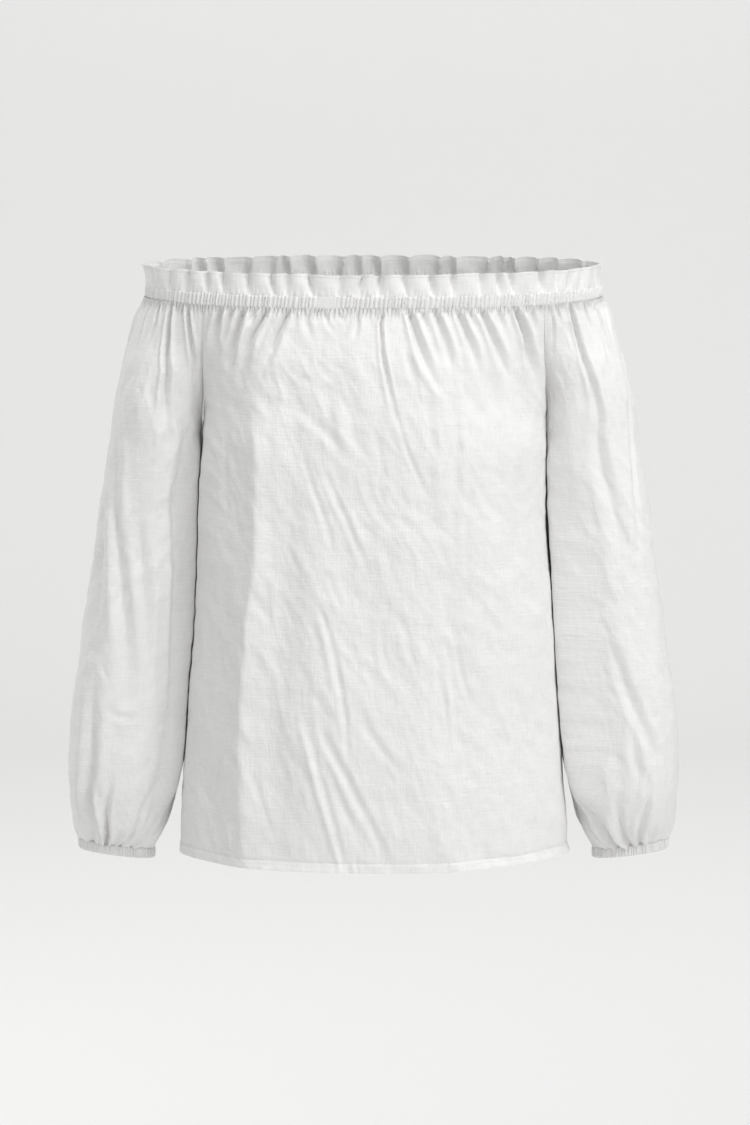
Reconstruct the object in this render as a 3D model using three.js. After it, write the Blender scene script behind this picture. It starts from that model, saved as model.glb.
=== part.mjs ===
import * as THREE from "three";

// Off-shoulder top with a gathered neck, long full sleeves and gathered cuffs.
// Millimetres, +Z up, the front faces -Y, the wearer's left side is at +X.
// The origin is the middle of the neck elastic.

// Cloth and seams
const CLOTH = 1.4;
const SEAM_GAP = 0.35;
const CLOTH_COLOUR = 0xf1f1ef;

// Neck ring: one curve that the casing, frill, panels and sleeves all follow
const NECK_HALF_WIDTH = 210.4;
const NECK_FRONT_DEPTH = 100;
const NECK_BACK_DEPTH = 96;
const NECK_ROUNDNESS = 2.2;
const NECK_FRONT_DIP = 4.4;
const NECK_DIP_FADE = 110;

// Neck casing
const CASING_HEIGHT = 10;
const CASING_WALL = 1.8;
const CASING_PUCKERS = 60;
const CASING_COLUMNS_PER_PUCKER = 3;
const CASING_PUCKER_DEPTH = 0.7;
const CASING_BULGE = 0.5;

// Neck frill
const FRILL_HEIGHT = 19.8;
const FRILL_FRONT_TALLER = 0.8;
const FRILL_BACK_TALLER = 1.9;
const FRILL_CLOTH = 1.3;
const FRILL_FLARE = 0.6;

// Body
const SEAM_X = 157;
const UNDERARM_Z = -130;
const SIDE_SEAM_Y = -14;
const SEAM_SWEEP = 1.7;
const FRONT_COLUMNS = 64;
const BACK_COLUMNS = 56;

// Sleeves
const SLEEVE_COLUMNS = 28;
const SLEEVE_ROUNDNESS = 2.25;
const SLEEVE_LEAN = 0.16;
const SLEEVE_END_GATHERS = 7;
const SLEEVE_END_GATHER_DEPTH = 2.6;

// Cuffs
const CUFF_X = 241;
const CUFF_TOP_Z = -518.2;
const CUFF_HEIGHT = 9.8;
const CUFF_HALF_WIDTH = 35;
const CUFF_HALF_DEPTH = 23;
const CUFF_TILT = 0.13;
const CUFF_WALL = 1.8;
const CUFF_PUCKERS = 12;
const CUFF_COLUMNS_PER_PUCKER = 3;
const CUFF_PUCKER_DEPTH = 0.7;

// Heights of the mesh rows that panels and sleeves share down to the underarm
const PANEL_TOP_Z = -(CASING_HEIGHT / 2 + SEAM_GAP);
const SEAM_ROWS = [PANEL_TOP_Z, -13, -22, -34, -50, -71, -98, UNDERARM_Z];
const PANEL_ROWS = [...SEAM_ROWS, -172, -225, -285, -345, -405, -465, -522];
const SLEEVE_LOW_Z = CUFF_TOP_Z + SEAM_GAP;
const SLEEVE_ROWS = [...SEAM_ROWS, -174, -235, -300, -362, -415, -450, -477, -497, -509, SLEEVE_LOW_Z];

// One row per height of the body section: half width, depth in front of and behind the middle, and roundness
const BODY_TABLE = [
  { z: 0, half: 157, front: 100, back: 96, round: 2.6 },
  { z: -30, half: 157, front: 107, back: 98, round: 2.6 },
  { z: -65, half: 157.1, front: 115, back: 100, round: 2.6 },
  { z: -101, half: 157.3, front: 120.5, back: 102.5, round: 2.6 },
  { z: -130, half: 158.3, front: 124, back: 104, round: 2.6 },
  { z: -191, half: 161.4, front: 127.5, back: 106.5, round: 2.5 },
  { z: -247, half: 164, front: 130, back: 110, round: 2.42 },
  { z: -315, half: 168.2, front: 132.5, back: 114, round: 2.32 },
  { z: -383, half: 172.8, front: 136, back: 118.5, round: 2.22 },
  { z: -440, half: 176.7, front: 139, back: 122.5, round: 2.15 },
  { z: -486, half: 178.8, front: 141, back: 126, round: 2.1 },
  { z: -522, half: 180, front: 142, back: 128, round: 2.05 },
];

// One row per height of the sleeve section: outermost x, innermost x, half depth and middle y
const SLEEVE_TABLE = [
  { z: 0, outer: 210.4, inner: 157.3, deep: 71, midY: -2 },
  { z: -11.5, outer: 215.7, inner: 157.3, deep: 70, midY: -2 },
  { z: -22.7, outer: 221, inner: 157.3, deep: 69, midY: -2 },
  { z: -33.8, outer: 224.8, inner: 157.3, deep: 67.5, midY: -2 },
  { z: -56.2, outer: 231, inner: 157.3, deep: 65, midY: -2 },
  { z: -78.6, outer: 236.2, inner: 157.3, deep: 63, midY: -2 },
  { z: -101, outer: 241, inner: 157.6, deep: 62, midY: -2 },
  { z: -130, outer: 245.4, inner: 158.6, deep: 61, midY: -2 },
  { z: -168.4, outer: 251.2, inner: 159.8, deep: 61, midY: -1 },
  { z: -213.5, outer: 257.6, inner: 162, deep: 61.5, midY: 0 },
  { z: -247.3, outer: 261.6, inner: 164, deep: 62.5, midY: 0 },
  { z: -281.2, outer: 266.5, inner: 166.2, deep: 63.5, midY: 0 },
  { z: -315.2, outer: 271.8, inner: 168.4, deep: 64.5, midY: 0 },
  { z: -349.2, outer: 276.4, inner: 170.8, deep: 65.5, midY: 0 },
  { z: -383.3, outer: 281.1, inner: 173.2, deep: 66.5, midY: 0 },
  { z: -417.4, outer: 283.4, inner: 175.8, deep: 67, midY: 0 },
  { z: -440.2, outer: 284.1, inner: 178.2, deep: 66.5, midY: 0 },
  { z: -463, outer: 283.6, inner: 183.6, deep: 63, midY: -1 },
  { z: -485.9, outer: 282.4, inner: 189.3, deep: 55.5, midY: -2 },
  { z: -497.3, outer: 281.8, inner: 192.2, deep: 50, midY: -2 },
  { z: -508.7, outer: 278.6, inner: 198.2, deep: 37, midY: -3 },
  { z: -519, outer: 276, inner: 204.6, deep: 23, midY: -2 },
  { z: -526, outer: 276, inner: 205.8, deep: 23, midY: -2 },
];

// Drop of the front hem and the back hem below the lowest panel row, by x
const FRONT_HEM_TABLE = [
  { x: -180, drop: 0 },
  { x: -168, drop: -2 },
  { x: -150, drop: -1.2 },
  { x: -110, drop: 0.2 },
  { x: -60, drop: 1 },
  { x: 0, drop: 1.5 },
  { x: 60, drop: 1.5 },
  { x: 100, drop: -0.4 },
  { x: 140, drop: -1.6 },
  { x: 168, drop: -2.6 },
  { x: 180, drop: 0 },
];
const BACK_HEM_TABLE = [
  { x: -180, drop: 0 },
  { x: -140, drop: -3 },
  { x: -70, drop: 0.5 },
  { x: 10, drop: 2 },
  { x: 80, drop: 0 },
  { x: 145, drop: -3 },
  { x: 180, drop: 0 },
];

// Gathers of the panels: x under the casing, x and z of the foot, half width and depth of the trough
const FRONT_GATHERS = [
  { x: -139.5, footX: -149.3, footZ: -52, wide: 4.5, deep: 3.5 },
  { x: -128, footX: -138, footZ: -34, wide: 4, deep: 2.0 },
  { x: -117.7, footX: -135.5, footZ: -72, wide: 4.5, deep: 3.5 },
  { x: -107, footX: -115, footZ: -36, wide: 4, deep: 2.0 },
  { x: -96.2, footX: -121.7, footZ: -76, wide: 4.5, deep: 3.2 },
  { x: -76.1, footX: -101.9, footZ: -74, wide: 4.5, deep: 3.5 },
  { x: -62, footX: -68, footZ: -66, wide: 6, deep: 2.3 },
  { x: -44, footX: -48, footZ: -34, wide: 4, deep: 1.7 },
  { x: -15, footX: -16, footZ: -40, wide: 4, deep: 2.3 },
  { x: 6.8, footX: 20.5, footZ: -112, wide: 6, deep: 4.9 },
  { x: 31, footX: 55.7, footZ: -88, wide: 5, deep: 3.8 },
  { x: 43, footX: 49, footZ: -34, wide: 4, deep: 1.7 },
  { x: 54.7, footX: 73.4, footZ: -76, wide: 4.5, deep: 3.2 },
  { x: 75.5, footX: 97.1, footZ: -78, wide: 4.5, deep: 3.2 },
  { x: 87, footX: 96, footZ: -36, wide: 4, deep: 1.9 },
  { x: 97.1, footX: 121.7, footZ: -80, wide: 4.5, deep: 3.5 },
  { x: 113, footX: 121, footZ: -38, wide: 4, deep: 2.0 },
  { x: 128.9, footX: 143, footZ: -96, wide: 5, deep: 4.3 },
  { x: 144, footX: 149, footZ: -40, wide: 3.5, deep: 1.7 },
];
const BACK_GATHERS = [
  { x: -143, footX: -149, footZ: -50, wide: 4.5, deep: 2.9 },
  { x: -124, footX: -136, footZ: -82, wide: 5, deep: 3.8 },
  { x: -109, footX: -117, footZ: -40, wide: 4, deep: 2.2 },
  { x: -92, footX: -108, footZ: -74, wide: 5, deep: 3.5 },
  { x: -73, footX: -82, footZ: -48, wide: 4.5, deep: 2.6 },
  { x: -55, footX: -64, footZ: -86, wide: 5, deep: 3.8 },
  { x: -36, footX: -40, footZ: -42, wide: 4, deep: 2.0 },
  { x: -19, footX: -25, footZ: -78, wide: 5, deep: 3.5 },
  { x: 2, footX: -2, footZ: -104, wide: 6, deep: 4.3 },
  { x: 21, footX: 24, footZ: -46, wide: 4, deep: 2.3 },
  { x: 38, footX: 46, footZ: -84, wide: 5, deep: 3.5 },
  { x: 58, footX: 66, footZ: -52, wide: 4.5, deep: 2.6 },
  { x: 76, footX: 90, footZ: -80, wide: 5, deep: 3.5 },
  { x: 95, footX: 103, footZ: -44, wide: 4, deep: 2.2 },
  { x: 113, footX: 127, footZ: -88, wide: 5, deep: 3.8 },
  { x: 131, footX: 138, footZ: -46, wide: 4, deep: 2.3 },
  { x: 145, footX: 149, footZ: -58, wide: 4, deep: 2.6 },
];

// Long soft creases of the panels: x and z of both ends, half width and depth
const FRONT_CREASES = [
  { x: -66.5, z: -135, footX: -9, footZ: -250, wide: 7, deep: 1.6 },
  { x: -99, z: -108, footX: -76, footZ: -152, wide: 6, deep: 1.2 },
  { x: -47, z: -286, footX: -26, footZ: -432, wide: 7, deep: 1.6 },
  { x: -118, z: -430, footX: -104, footZ: -470, wide: 6, deep: 1.3 },
  { x: -45, z: -430, footX: 12, footZ: -504, wide: 7, deep: 1.8 },
  { x: -60, z: -446, footX: -26, footZ: -518, wide: 6, deep: 1.8 },
  { x: 80, z: -305, footX: 69, footZ: -406, wide: 8, deep: 1.4 },
  { x: 114, z: -458, footX: 140, footZ: -450, wide: 7, deep: 1.2 },
];
const BACK_CREASES = [
  { x: 70, z: -130, footX: 18, footZ: -240, wide: 7, deep: 1.6 },
  { x: -96, z: -120, footX: -70, footZ: -190, wide: 7, deep: 1.4 },
  { x: 40, z: -290, footX: 30, footZ: -430, wide: 7, deep: 1.6 },
  { x: -60, z: -300, footX: -84, footZ: -420, wide: 8, deep: 1.6 },
  { x: 110, z: -400, footX: 86, footZ: -500, wide: 7, deep: 1.7 },
  { x: -20, z: -430, footX: -48, footZ: -512, wide: 7, deep: 1.7 },
];

// Troughs of the sleeves: share of the way round at the top and at the foot, from the front seam
// by the outer side to the back seam; z of top and foot; half width and depth
const RIGHT_SLEEVE_TROUGHS = [
  { at: 0.08, z: -6, footAt: 0.05, footZ: -62, wide: 4, deep: 2.0 },
  { at: 0.19, z: -6, footAt: 0.2, footZ: -215, wide: 6, deep: 3.8 },
  { at: 0.3, z: -6, footAt: 0.36, footZ: -64, wide: 5, deep: 3.2 },
  { at: 0.41, z: -6, footAt: 0.43, footZ: -80, wide: 5, deep: 3.2 },
  { at: 0.52, z: -6, footAt: 0.51, footZ: -50, wide: 5, deep: 2.6 },
  { at: 0.62, z: -6, footAt: 0.6, footZ: -96, wide: 6, deep: 3.5 },
  { at: 0.73, z: -6, footAt: 0.7, footZ: -60, wide: 5, deep: 2.9 },
  { at: 0.83, z: -6, footAt: 0.78, footZ: -150, wide: 6, deep: 3.8 },
  { at: 0.93, z: -6, footAt: 0.94, footZ: -58, wide: 4, deep: 2.0 },
  { at: 0.4, z: -390, footAt: 0.37, footZ: -500, wide: 7, deep: 3.8 },
  { at: 0.7, z: -250, footAt: 0.63, footZ: -430, wide: 8, deep: 3.2 },
  { at: 0.3, z: -260, footAt: 0.36, footZ: -400, wide: 8, deep: 2.6 },
];
const LEFT_SLEEVE_TROUGHS = [
  { at: 0.07, z: -6, footAt: 0.07, footZ: -76, wide: 4, deep: 2.3 },
  { at: 0.18, z: -6, footAt: 0.24, footZ: -130, wide: 6, deep: 4.3 },
  { at: 0.3, z: -6, footAt: 0.31, footZ: -56, wide: 5, deep: 2.6 },
  { at: 0.4, z: -6, footAt: 0.41, footZ: -90, wide: 5, deep: 3.5 },
  { at: 0.51, z: -6, footAt: 0.53, footZ: -54, wide: 5, deep: 2.6 },
  { at: 0.61, z: -6, footAt: 0.59, footZ: -84, wide: 5, deep: 3.2 },
  { at: 0.72, z: -6, footAt: 0.72, footZ: -52, wide: 5, deep: 2.6 },
  { at: 0.82, z: -6, footAt: 0.77, footZ: -140, wide: 6, deep: 3.8 },
  { at: 0.93, z: -6, footAt: 0.93, footZ: -64, wide: 4, deep: 2.2 },
  { at: 0.2, z: -400, footAt: 0.3, footZ: -498, wide: 7, deep: 3.5 },
  { at: 0.66, z: -230, footAt: 0.6, footZ: -420, wide: 8, deep: 3.2 },
  { at: 0.33, z: -300, footAt: 0.37, footZ: -430, wide: 8, deep: 2.6 },
];

// Valleys of the frill by x, in front and behind, and how deep each one is
const FRILL_FRONT_VALLEYS = [
  { x: -205, deep: 1.6 },
  { x: -188.8, deep: 2.6 },
  { x: -173.3, deep: 2.4 },
  { x: -153.3, deep: 3 },
  { x: -137.8, deep: 2.4 },
  { x: -115.1, deep: 3.4 },
  { x: -92.3, deep: 3 },
  { x: -80.5, deep: 2.4 },
  { x: -56.9, deep: 3.4 },
  { x: -32.3, deep: 2 },
  { x: -15, deep: 3 },
  { x: 4.5, deep: 4 },
  { x: 29.6, deep: 2 },
  { x: 53.2, deep: 3.4 },
  { x: 71.4, deep: 3 },
  { x: 97.8, deep: 2.2 },
  { x: 115.1, deep: 3 },
  { x: 126.9, deep: 2.4 },
  { x: 154.2, deep: 3.6 },
  { x: 167, deep: 2 },
  { x: 178.8, deep: 2.2 },
  { x: 190.6, deep: 2.2 },
  { x: 206, deep: 1.6 },
];
const FRILL_BACK_VALLEYS = [
  { x: 200, deep: 2 },
  { x: 176.3, deep: 3 },
  { x: 157, deep: 2.6 },
  { x: 135.7, deep: 3 },
  { x: 123.4, deep: 2 },
  { x: 107.3, deep: 2.8 },
  { x: 78.9, deep: 3.4 },
  { x: 61.9, deep: 2.4 },
  { x: 33.6, deep: 3.4 },
  { x: 7.1, deep: 3 },
  { x: -10.9, deep: 2.4 },
  { x: -29.8, deep: 2.4 },
  { x: -54.4, deep: 3.4 },
  { x: -78.9, deep: 3 },
  { x: -93.1, deep: 2.4 },
  { x: -117.7, deep: 3.4 },
  { x: -142.3, deep: 3 },
  { x: -158.4, deep: 2.4 },
  { x: -174.4, deep: 2.6 },
  { x: -199, deep: 2 },
];

const clamp01 = (t) => Math.min(1, Math.max(0, t));
const smooth = (t) => {
  const k = clamp01(t);
  return k * k * (3 - 2 * k);
};
const signedPower = (value, power) => Math.sign(value) * Math.abs(value) ** power;

// Smooth curve through one column of a table, the key column rising or falling
function readTable(table, key, column, at) {
  const rising = table[table.length - 1][key] > table[0][key];
  const last = table.length - 1;
  const before = (row) => (rising ? row[key] <= at : row[key] >= at);
  let i = 0;
  while (i < last - 1 && before(table[i + 1])) i += 1;
  const slope = (j) => {
    const a = table[Math.max(0, j - 1)];
    const b = table[Math.min(last, j + 1)];
    return (b[column] - a[column]) / (b[key] - a[key]);
  };
  const span = table[i + 1][key] - table[i][key];
  const t = clamp01((at - table[i][key]) / span);
  const t2 = t * t;
  const t3 = t2 * t;
  return (
    (2 * t3 - 3 * t2 + 1) * table[i][column] +
    (t3 - 2 * t2 + t) * span * slope(i) +
    (3 * t2 - 2 * t3) * table[i + 1][column] +
    (t3 - t2) * span * slope(i + 1)
  );
}

// Points spaced evenly along a plane curve given as a function of 0 to 1
function evenPoints(curve, columns, samples = 480) {
  const raw = [];
  const length = [0];
  for (let i = 0; i <= samples; i += 1) raw.push(curve(i / samples));
  for (let i = 1; i <= samples; i += 1) {
    length.push(length[i - 1] + Math.hypot(raw[i].x - raw[i - 1].x, raw[i].y - raw[i - 1].y));
  }
  const total = length[samples];
  const points = [];
  let j = 0;
  for (let c = 0; c <= columns; c += 1) {
    const want = (total * c) / columns;
    while (j < samples - 1 && length[j + 1] < want) j += 1;
    const t = (want - length[j]) / (length[j + 1] - length[j]);
    points.push({
      x: raw[j].x + (raw[j + 1].x - raw[j].x) * t,
      y: raw[j].y + (raw[j + 1].y - raw[j].y) * t,
      at: c / columns,
      length: total,
    });
  }
  return points;
}

// Neck ring at a turn from 0 to 1, from the front middle by the +X side to the back
function neckPoint(turn) {
  const angle = turn * Math.PI * 2;
  const power = 2 / NECK_ROUNDNESS;
  const depth = Math.cos(angle) > 0 ? NECK_FRONT_DEPTH : NECK_BACK_DEPTH;
  return {
    x: NECK_HALF_WIDTH * signedPower(Math.sin(angle), power),
    y: -depth * signedPower(Math.cos(angle), power),
  };
}

function neckY(x, depth) {
  const across = Math.abs(x / NECK_HALF_WIDTH) ** NECK_ROUNDNESS;
  return depth * (1 - across) ** (1 / NECK_ROUNDNESS);
}

function neckNormal(x, y) {
  const depth = y < 0 ? NECK_FRONT_DEPTH : NECK_BACK_DEPTH;
  const nx = signedPower(x / NECK_HALF_WIDTH, NECK_ROUNDNESS - 1) / NECK_HALF_WIDTH;
  const ny = signedPower(y / depth, NECK_ROUNDNESS - 1) / depth;
  const size = Math.hypot(nx, ny);
  return { x: nx / size, y: ny / size };
}

// The neck hangs lower at the front middle; the drop fades out down the garment
const neckDip = (y, z) =>
  -NECK_FRONT_DIP * clamp01(-y / NECK_FRONT_DEPTH) ** 1.6 * (1 - smooth(-z / NECK_DIP_FADE));

const SEAM_FRONT_Y = neckY(SEAM_X, NECK_FRONT_DEPTH);
const SEAM_BACK_Y = neckY(SEAM_X, NECK_BACK_DEPTH);

// Share of the way from the neck shape to the full body shape
const sweepAt = (z) => clamp01((PANEL_TOP_Z - z) / (PANEL_TOP_Z - UNDERARM_Z)) ** SEAM_SWEEP;

// Height of an outer point of a gathered trough: 1 in the full trough, 0 at both ends
function troughShare(z, topZ, footZ) {
  const t = (topZ - z) / (topZ - footZ);
  if (t <= 0 || t >= 1) return 0;
  return smooth(t / 0.16) * (1 - smooth((t - 0.35) / 0.65));
}

function creaseShare(z, topZ, footZ) {
  const t = (topZ - z) / (topZ - footZ);
  if (t <= 0 || t >= 1) return 0;
  return Math.sin(Math.PI * t) ** 0.8;
}

const bell = (distance, wide) => Math.exp(-((distance / wide) ** 2));

function panelDepthChange(x, z, edge, gathers, creases) {
  let change = 0;
  for (const g of gathers) {
    const t = clamp01((PANEL_TOP_Z - z) / (PANEL_TOP_Z - g.footZ));
    const middle = g.x + (g.footX - g.x) * t;
    change -= g.deep * troughShare(z, PANEL_TOP_Z, g.footZ) * bell(x - middle, g.wide * (1 + t));
  }
  for (const c of creases) {
    const t = clamp01((c.z - z) / (c.z - c.footZ));
    const middle = c.x + (c.footX - c.x) * t;
    change -= c.deep * creaseShare(z, c.z, c.footZ) * bell(x - middle, c.wide);
  }
  return change * smooth(edge / 9);
}

// Outer points of the front or back panel, a list of columns for each row
function panelPoints(front) {
  const side = front ? -1 : 1;
  const columns = front ? FRONT_COLUMNS : BACK_COLUMNS;
  const neckDepth = front ? NECK_FRONT_DEPTH : NECK_BACK_DEPTH;
  const seamY = front ? SEAM_FRONT_Y : SEAM_BACK_Y;
  const sideY = front ? -SIDE_SEAM_Y : SIDE_SEAM_Y;
  const hem = front ? FRONT_HEM_TABLE : BACK_HEM_TABLE;
  return PANEL_ROWS.map((z, row) => {
    const blend = sweepAt(z);
    const half = readTable(BODY_TABLE, "z", "half", z);
    const deep = readTable(BODY_TABLE, "z", front ? "front" : "back", z);
    const round = readTable(BODY_TABLE, "z", "round", z);
    const edge = seamY * (1 - blend) + sideY * blend + (blend < 1 ? 0 : SEAM_GAP / 2);
    const neckSpan = neckDepth - seamY;
    const points = evenPoints((t) => {
      const u = Math.sin((t - 0.5) * Math.PI);
      const neckShare = (neckY(SEAM_X * u, neckDepth) - seamY) / neckSpan;
      const bodyShare = (1 - Math.abs(u) ** round) ** (1 / round);
      const share = neckShare * (1 - blend) + bodyShare * blend;
      const x = -side * half * u;
      return { x, y: side * (edge + (deep - edge) * share) };
    }, columns);
    return points.map((p) => {
      const low = row === PANEL_ROWS.length - 1 ? readTable(hem, "x", "drop", p.x) : 0;
      return new THREE.Vector3(p.x, p.y, z + neckDip(p.y, z) - low);
    });
  });
}

const cuffPlane = (x) => CUFF_TOP_Z + CUFF_TILT * (x - CUFF_X);

// Outer points of a sleeve on the +X side, from the front seam by the outer side to the back seam
function sleevePoints() {
  const power = 2 / SLEEVE_ROUNDNESS;
  return SLEEVE_ROWS.map((z) => {
    const blend = sweepAt(z);
    const lean = SLEEVE_LEAN * smooth((UNDERARM_Z - z) / 80) * (1 - smooth((-z - 470) / 49));
    const tilt = CUFF_TILT * smooth((-z - 430) / (-CUFF_TOP_Z - 430));
    const roughOuter = readTable(SLEEVE_TABLE, "z", "outer", z);
    const roughInner = readTable(SLEEVE_TABLE, "z", "inner", z);
    const outer = readTable(SLEEVE_TABLE, "z", "outer", z + tilt * (roughOuter - CUFF_X));
    const open = blend < 1;
    const seamX = readTable(BODY_TABLE, "z", "half", z) + SEAM_GAP;
    const inner = open ? seamX : readTable(SLEEVE_TABLE, "z", "inner", z + tilt * (roughInner - CUFF_X));
    const deep = readTable(SLEEVE_TABLE, "z", "deep", z);
    const midY = readTable(SLEEVE_TABLE, "z", "midY", z);
    const seamAngle = Math.asin(clamp01(-(SIDE_SEAM_Y - midY) / deep) ** (1 / power));
    const startTurn = Math.atan2(
      (SEAM_X / NECK_HALF_WIDTH) ** (NECK_ROUNDNESS / 2),
      (SEAM_FRONT_Y / NECK_FRONT_DEPTH) ** (NECK_ROUNDNESS / 2),
    ) / (Math.PI * 2);
    const endTurn = 0.5 - Math.atan2(
      (SEAM_X / NECK_HALF_WIDTH) ** (NECK_ROUNDNESS / 2),
      (SEAM_BACK_Y / NECK_BACK_DEPTH) ** (NECK_ROUNDNESS / 2),
    ) / (Math.PI * 2);
    const shape = (t) => {
      const ring = neckPoint(startTurn + (endTurn - startTurn) * t);
      const angle = -Math.PI + seamAngle + t * Math.PI * 2;
      const ovalX = signedPower(Math.cos(angle), power);
      const ovalY = midY + deep * signedPower(Math.sin(angle), power);
      const ringX = (ring.x - SEAM_X) / (NECK_HALF_WIDTH - SEAM_X);
      return { ring: ringX, oval: (ovalX + 1) / 2, y: ring.y * (1 - blend) + ovalY * blend, ovalY };
    };
    const raw = [];
    const samples = 720;
    for (let i = 0; i <= samples; i += 1) {
      const s = shape(i / samples);
      const across = s.ring * (1 - blend) + s.oval * blend;
      raw.push({ across: across - (lean * (s.ovalY - midY)) / (outer - inner), y: s.y });
    }
    const fullFront = Math.max(1, (deep - midY) / -Math.min(...raw.map((p) => p.y)));
    const fullBack = Math.max(1, (deep + midY) / Math.max(...raw.map((p) => p.y)));
    raw.forEach((p, i) => {
      const awayFromSeam = smooth(Math.min(i, samples - i) / samples / 0.2);
      p.y *= 1 + ((p.y < 0 ? fullFront : fullBack) - 1) * awayFromSeam;
    });
    const least = open ? 0 : Math.min(...raw.map((p) => p.across));
    const most = Math.max(...raw.map((p) => p.across));
    const startAcross = raw[0].across;
    const curve = (t) => {
      const f = t * samples;
      const i = Math.min(samples - 1, Math.floor(f));
      const k = f - i;
      const across = raw[i].across + (raw[i + 1].across - raw[i].across) * k;
      const from = open ? startAcross : least;
      return {
        x: inner + ((outer - inner) * (across - from)) / (most - from),
        y: raw[i].y + (raw[i + 1].y - raw[i].y) * k,
      };
    };
    return evenPoints(curve, SLEEVE_COLUMNS, samples).map((p) => {
      const point = new THREE.Vector3(p.x, p.y, z + neckDip(p.y, z) + tilt * (p.x - CUFF_X));
      point.round = p.length;
      return point;
    });
  });
}

// Direction away from the cloth at each outer point, by the neighbours' positions
function outwardDirections(points, wrapFrom) {
  const rows = points.length;
  const columns = points[0].length - 1;
  return points.map((list, r) =>
    list.map((_, c) => {
      const wrap = r >= wrapFrom;
      const left = c > 0 ? c - 1 : wrap ? columns - 1 : 0;
      const right = c < columns ? c + 1 : wrap ? 1 : columns;
      const seam = wrap && (c === 0 || c === columns);
      const up = r > 0 && !(seam && r === wrapFrom) ? r - 1 : r;
      const down = r < rows - 1 ? r + 1 : r;
      const along = points[r][right].clone().sub(points[r][left]);
      const downward = points[down][c].clone().sub(points[up][c]);
      return downward.cross(along).normalize();
    }),
  );
}

// Moves outer points along their directions by a change given for each row and column
function displaced(points, wrapFrom, changeAt) {
  const directions = outwardDirections(points, wrapFrom);
  return points.map((list, r) =>
    list.map((p, c) => p.clone().addScaledVector(directions[r][c], changeAt(r, c, p))),
  );
}

// Closed wall between outer points and inner points; rows from wrapFrom on are closed rings
function wallGeometry(outer, inner, wrapFrom) {
  const rows = outer.length;
  const columns = outer[0].length - 1;
  const position = [];
  const index = [];
  const outerAt = [];
  const innerAt = [];
  for (let r = 0; r < rows; r += 1) {
    outerAt.push([]);
    innerAt.push([]);
    for (let c = 0; c <= columns; c += 1) {
      if (c === columns && r >= wrapFrom) {
        outerAt[r].push(outerAt[r][0]);
        innerAt[r].push(innerAt[r][0]);
        continue;
      }
      outerAt[r].push(position.length / 3);
      position.push(outer[r][c].x, outer[r][c].y, outer[r][c].z);
      innerAt[r].push(position.length / 3);
      position.push(inner[r][c].x, inner[r][c].y, inner[r][c].z);
    }
  }
  for (let r = 0; r < rows - 1; r += 1) {
    for (let c = 0; c < columns; c += 1) {
      const o = [outerAt[r][c], outerAt[r][c + 1], outerAt[r + 1][c], outerAt[r + 1][c + 1]];
      const i = [innerAt[r][c], innerAt[r][c + 1], innerAt[r + 1][c], innerAt[r + 1][c + 1]];
      const rise = outer[r][c + 1].distanceTo(outer[r + 1][c]);
      const fall = outer[r][c].distanceTo(outer[r + 1][c + 1]);
      if (rise <= fall) {
        index.push(o[0], o[2], o[1], o[1], o[2], o[3]);
        index.push(i[0], i[1], i[2], i[1], i[3], i[2]);
      } else {
        index.push(o[0], o[2], o[3], o[0], o[3], o[1]);
        index.push(i[0], i[3], i[2], i[0], i[1], i[3]);
      }
    }
  }
  const low = rows - 1;
  for (let c = 0; c < columns; c += 1) {
    index.push(outerAt[0][c], outerAt[0][c + 1], innerAt[0][c + 1]);
    index.push(outerAt[0][c], innerAt[0][c + 1], innerAt[0][c]);
    index.push(outerAt[low][c], innerAt[low][c + 1], outerAt[low][c + 1]);
    index.push(outerAt[low][c], innerAt[low][c], innerAt[low][c + 1]);
  }
  for (let r = 0; r < Math.min(rows - 1, wrapFrom); r += 1) {
    index.push(outerAt[r + 1][0], outerAt[r][0], innerAt[r][0]);
    index.push(outerAt[r + 1][0], innerAt[r][0], innerAt[r + 1][0]);
    index.push(outerAt[r][columns], outerAt[r + 1][columns], innerAt[r + 1][columns]);
    index.push(outerAt[r][columns], innerAt[r + 1][columns], innerAt[r][columns]);
  }
  const geometry = new THREE.BufferGeometry();
  geometry.setAttribute("position", new THREE.Float32BufferAttribute(position, 3));
  geometry.setIndex(index);
  geometry.computeVertexNormals();
  return geometry;
}

function namedMesh(name, geometry) {
  const material = new THREE.MeshStandardMaterial({ color: CLOTH_COLOUR, roughness: 0.95, metalness: 0 });
  const mesh = new THREE.Mesh(geometry, material);
  mesh.name = name;
  return mesh;
}

// Inner points one cloth thickness inside. The top row is level, the low row tilts in X,
// and the points at side seams lie sideways of the outer ones
function clothInside(outer, wrapFrom, lowTilt, sideways) {
  const directions = outwardDirections(outer, wrapFrom);
  const low = outer.length - 1;
  return outer.map((list, r) =>
    list.map((p, c) => {
      const d = directions[r][c];
      if (r === 0 || r === low) {
        d.z = 0;
        d.normalize();
      }
      if (r === low) d.z = lowTilt * d.x;
      const forced = sideways(r, c, p);
      return p.clone().addScaledVector(forced || d, -CLOTH);
    }),
  );
}

function panel(name, front) {
  const gathers = front ? FRONT_GATHERS : BACK_GATHERS;
  const creases = front ? FRONT_CREASES : BACK_CREASES;
  const base = panelPoints(front);
  const columns = base[0].length - 1;
  const underarmRow = SEAM_ROWS.length - 1;
  const outer = displaced(base, Infinity, (r, c, p) => {
    const edge = Math.min(p.distanceTo(base[r][0]), p.distanceTo(base[r][columns]));
    return panelDepthChange(p.x, PANEL_ROWS[r], edge, gathers, creases);
  });
  const inner = clothInside(outer, Infinity, 0, (r, c, p) => {
    const atSide = r >= underarmRow && (c === 0 || c === columns);
    return atSide ? new THREE.Vector3(Math.sign(p.x), 0, 0) : null;
  });
  return namedMesh(name, wallGeometry(outer, inner, Infinity));
}

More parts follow.
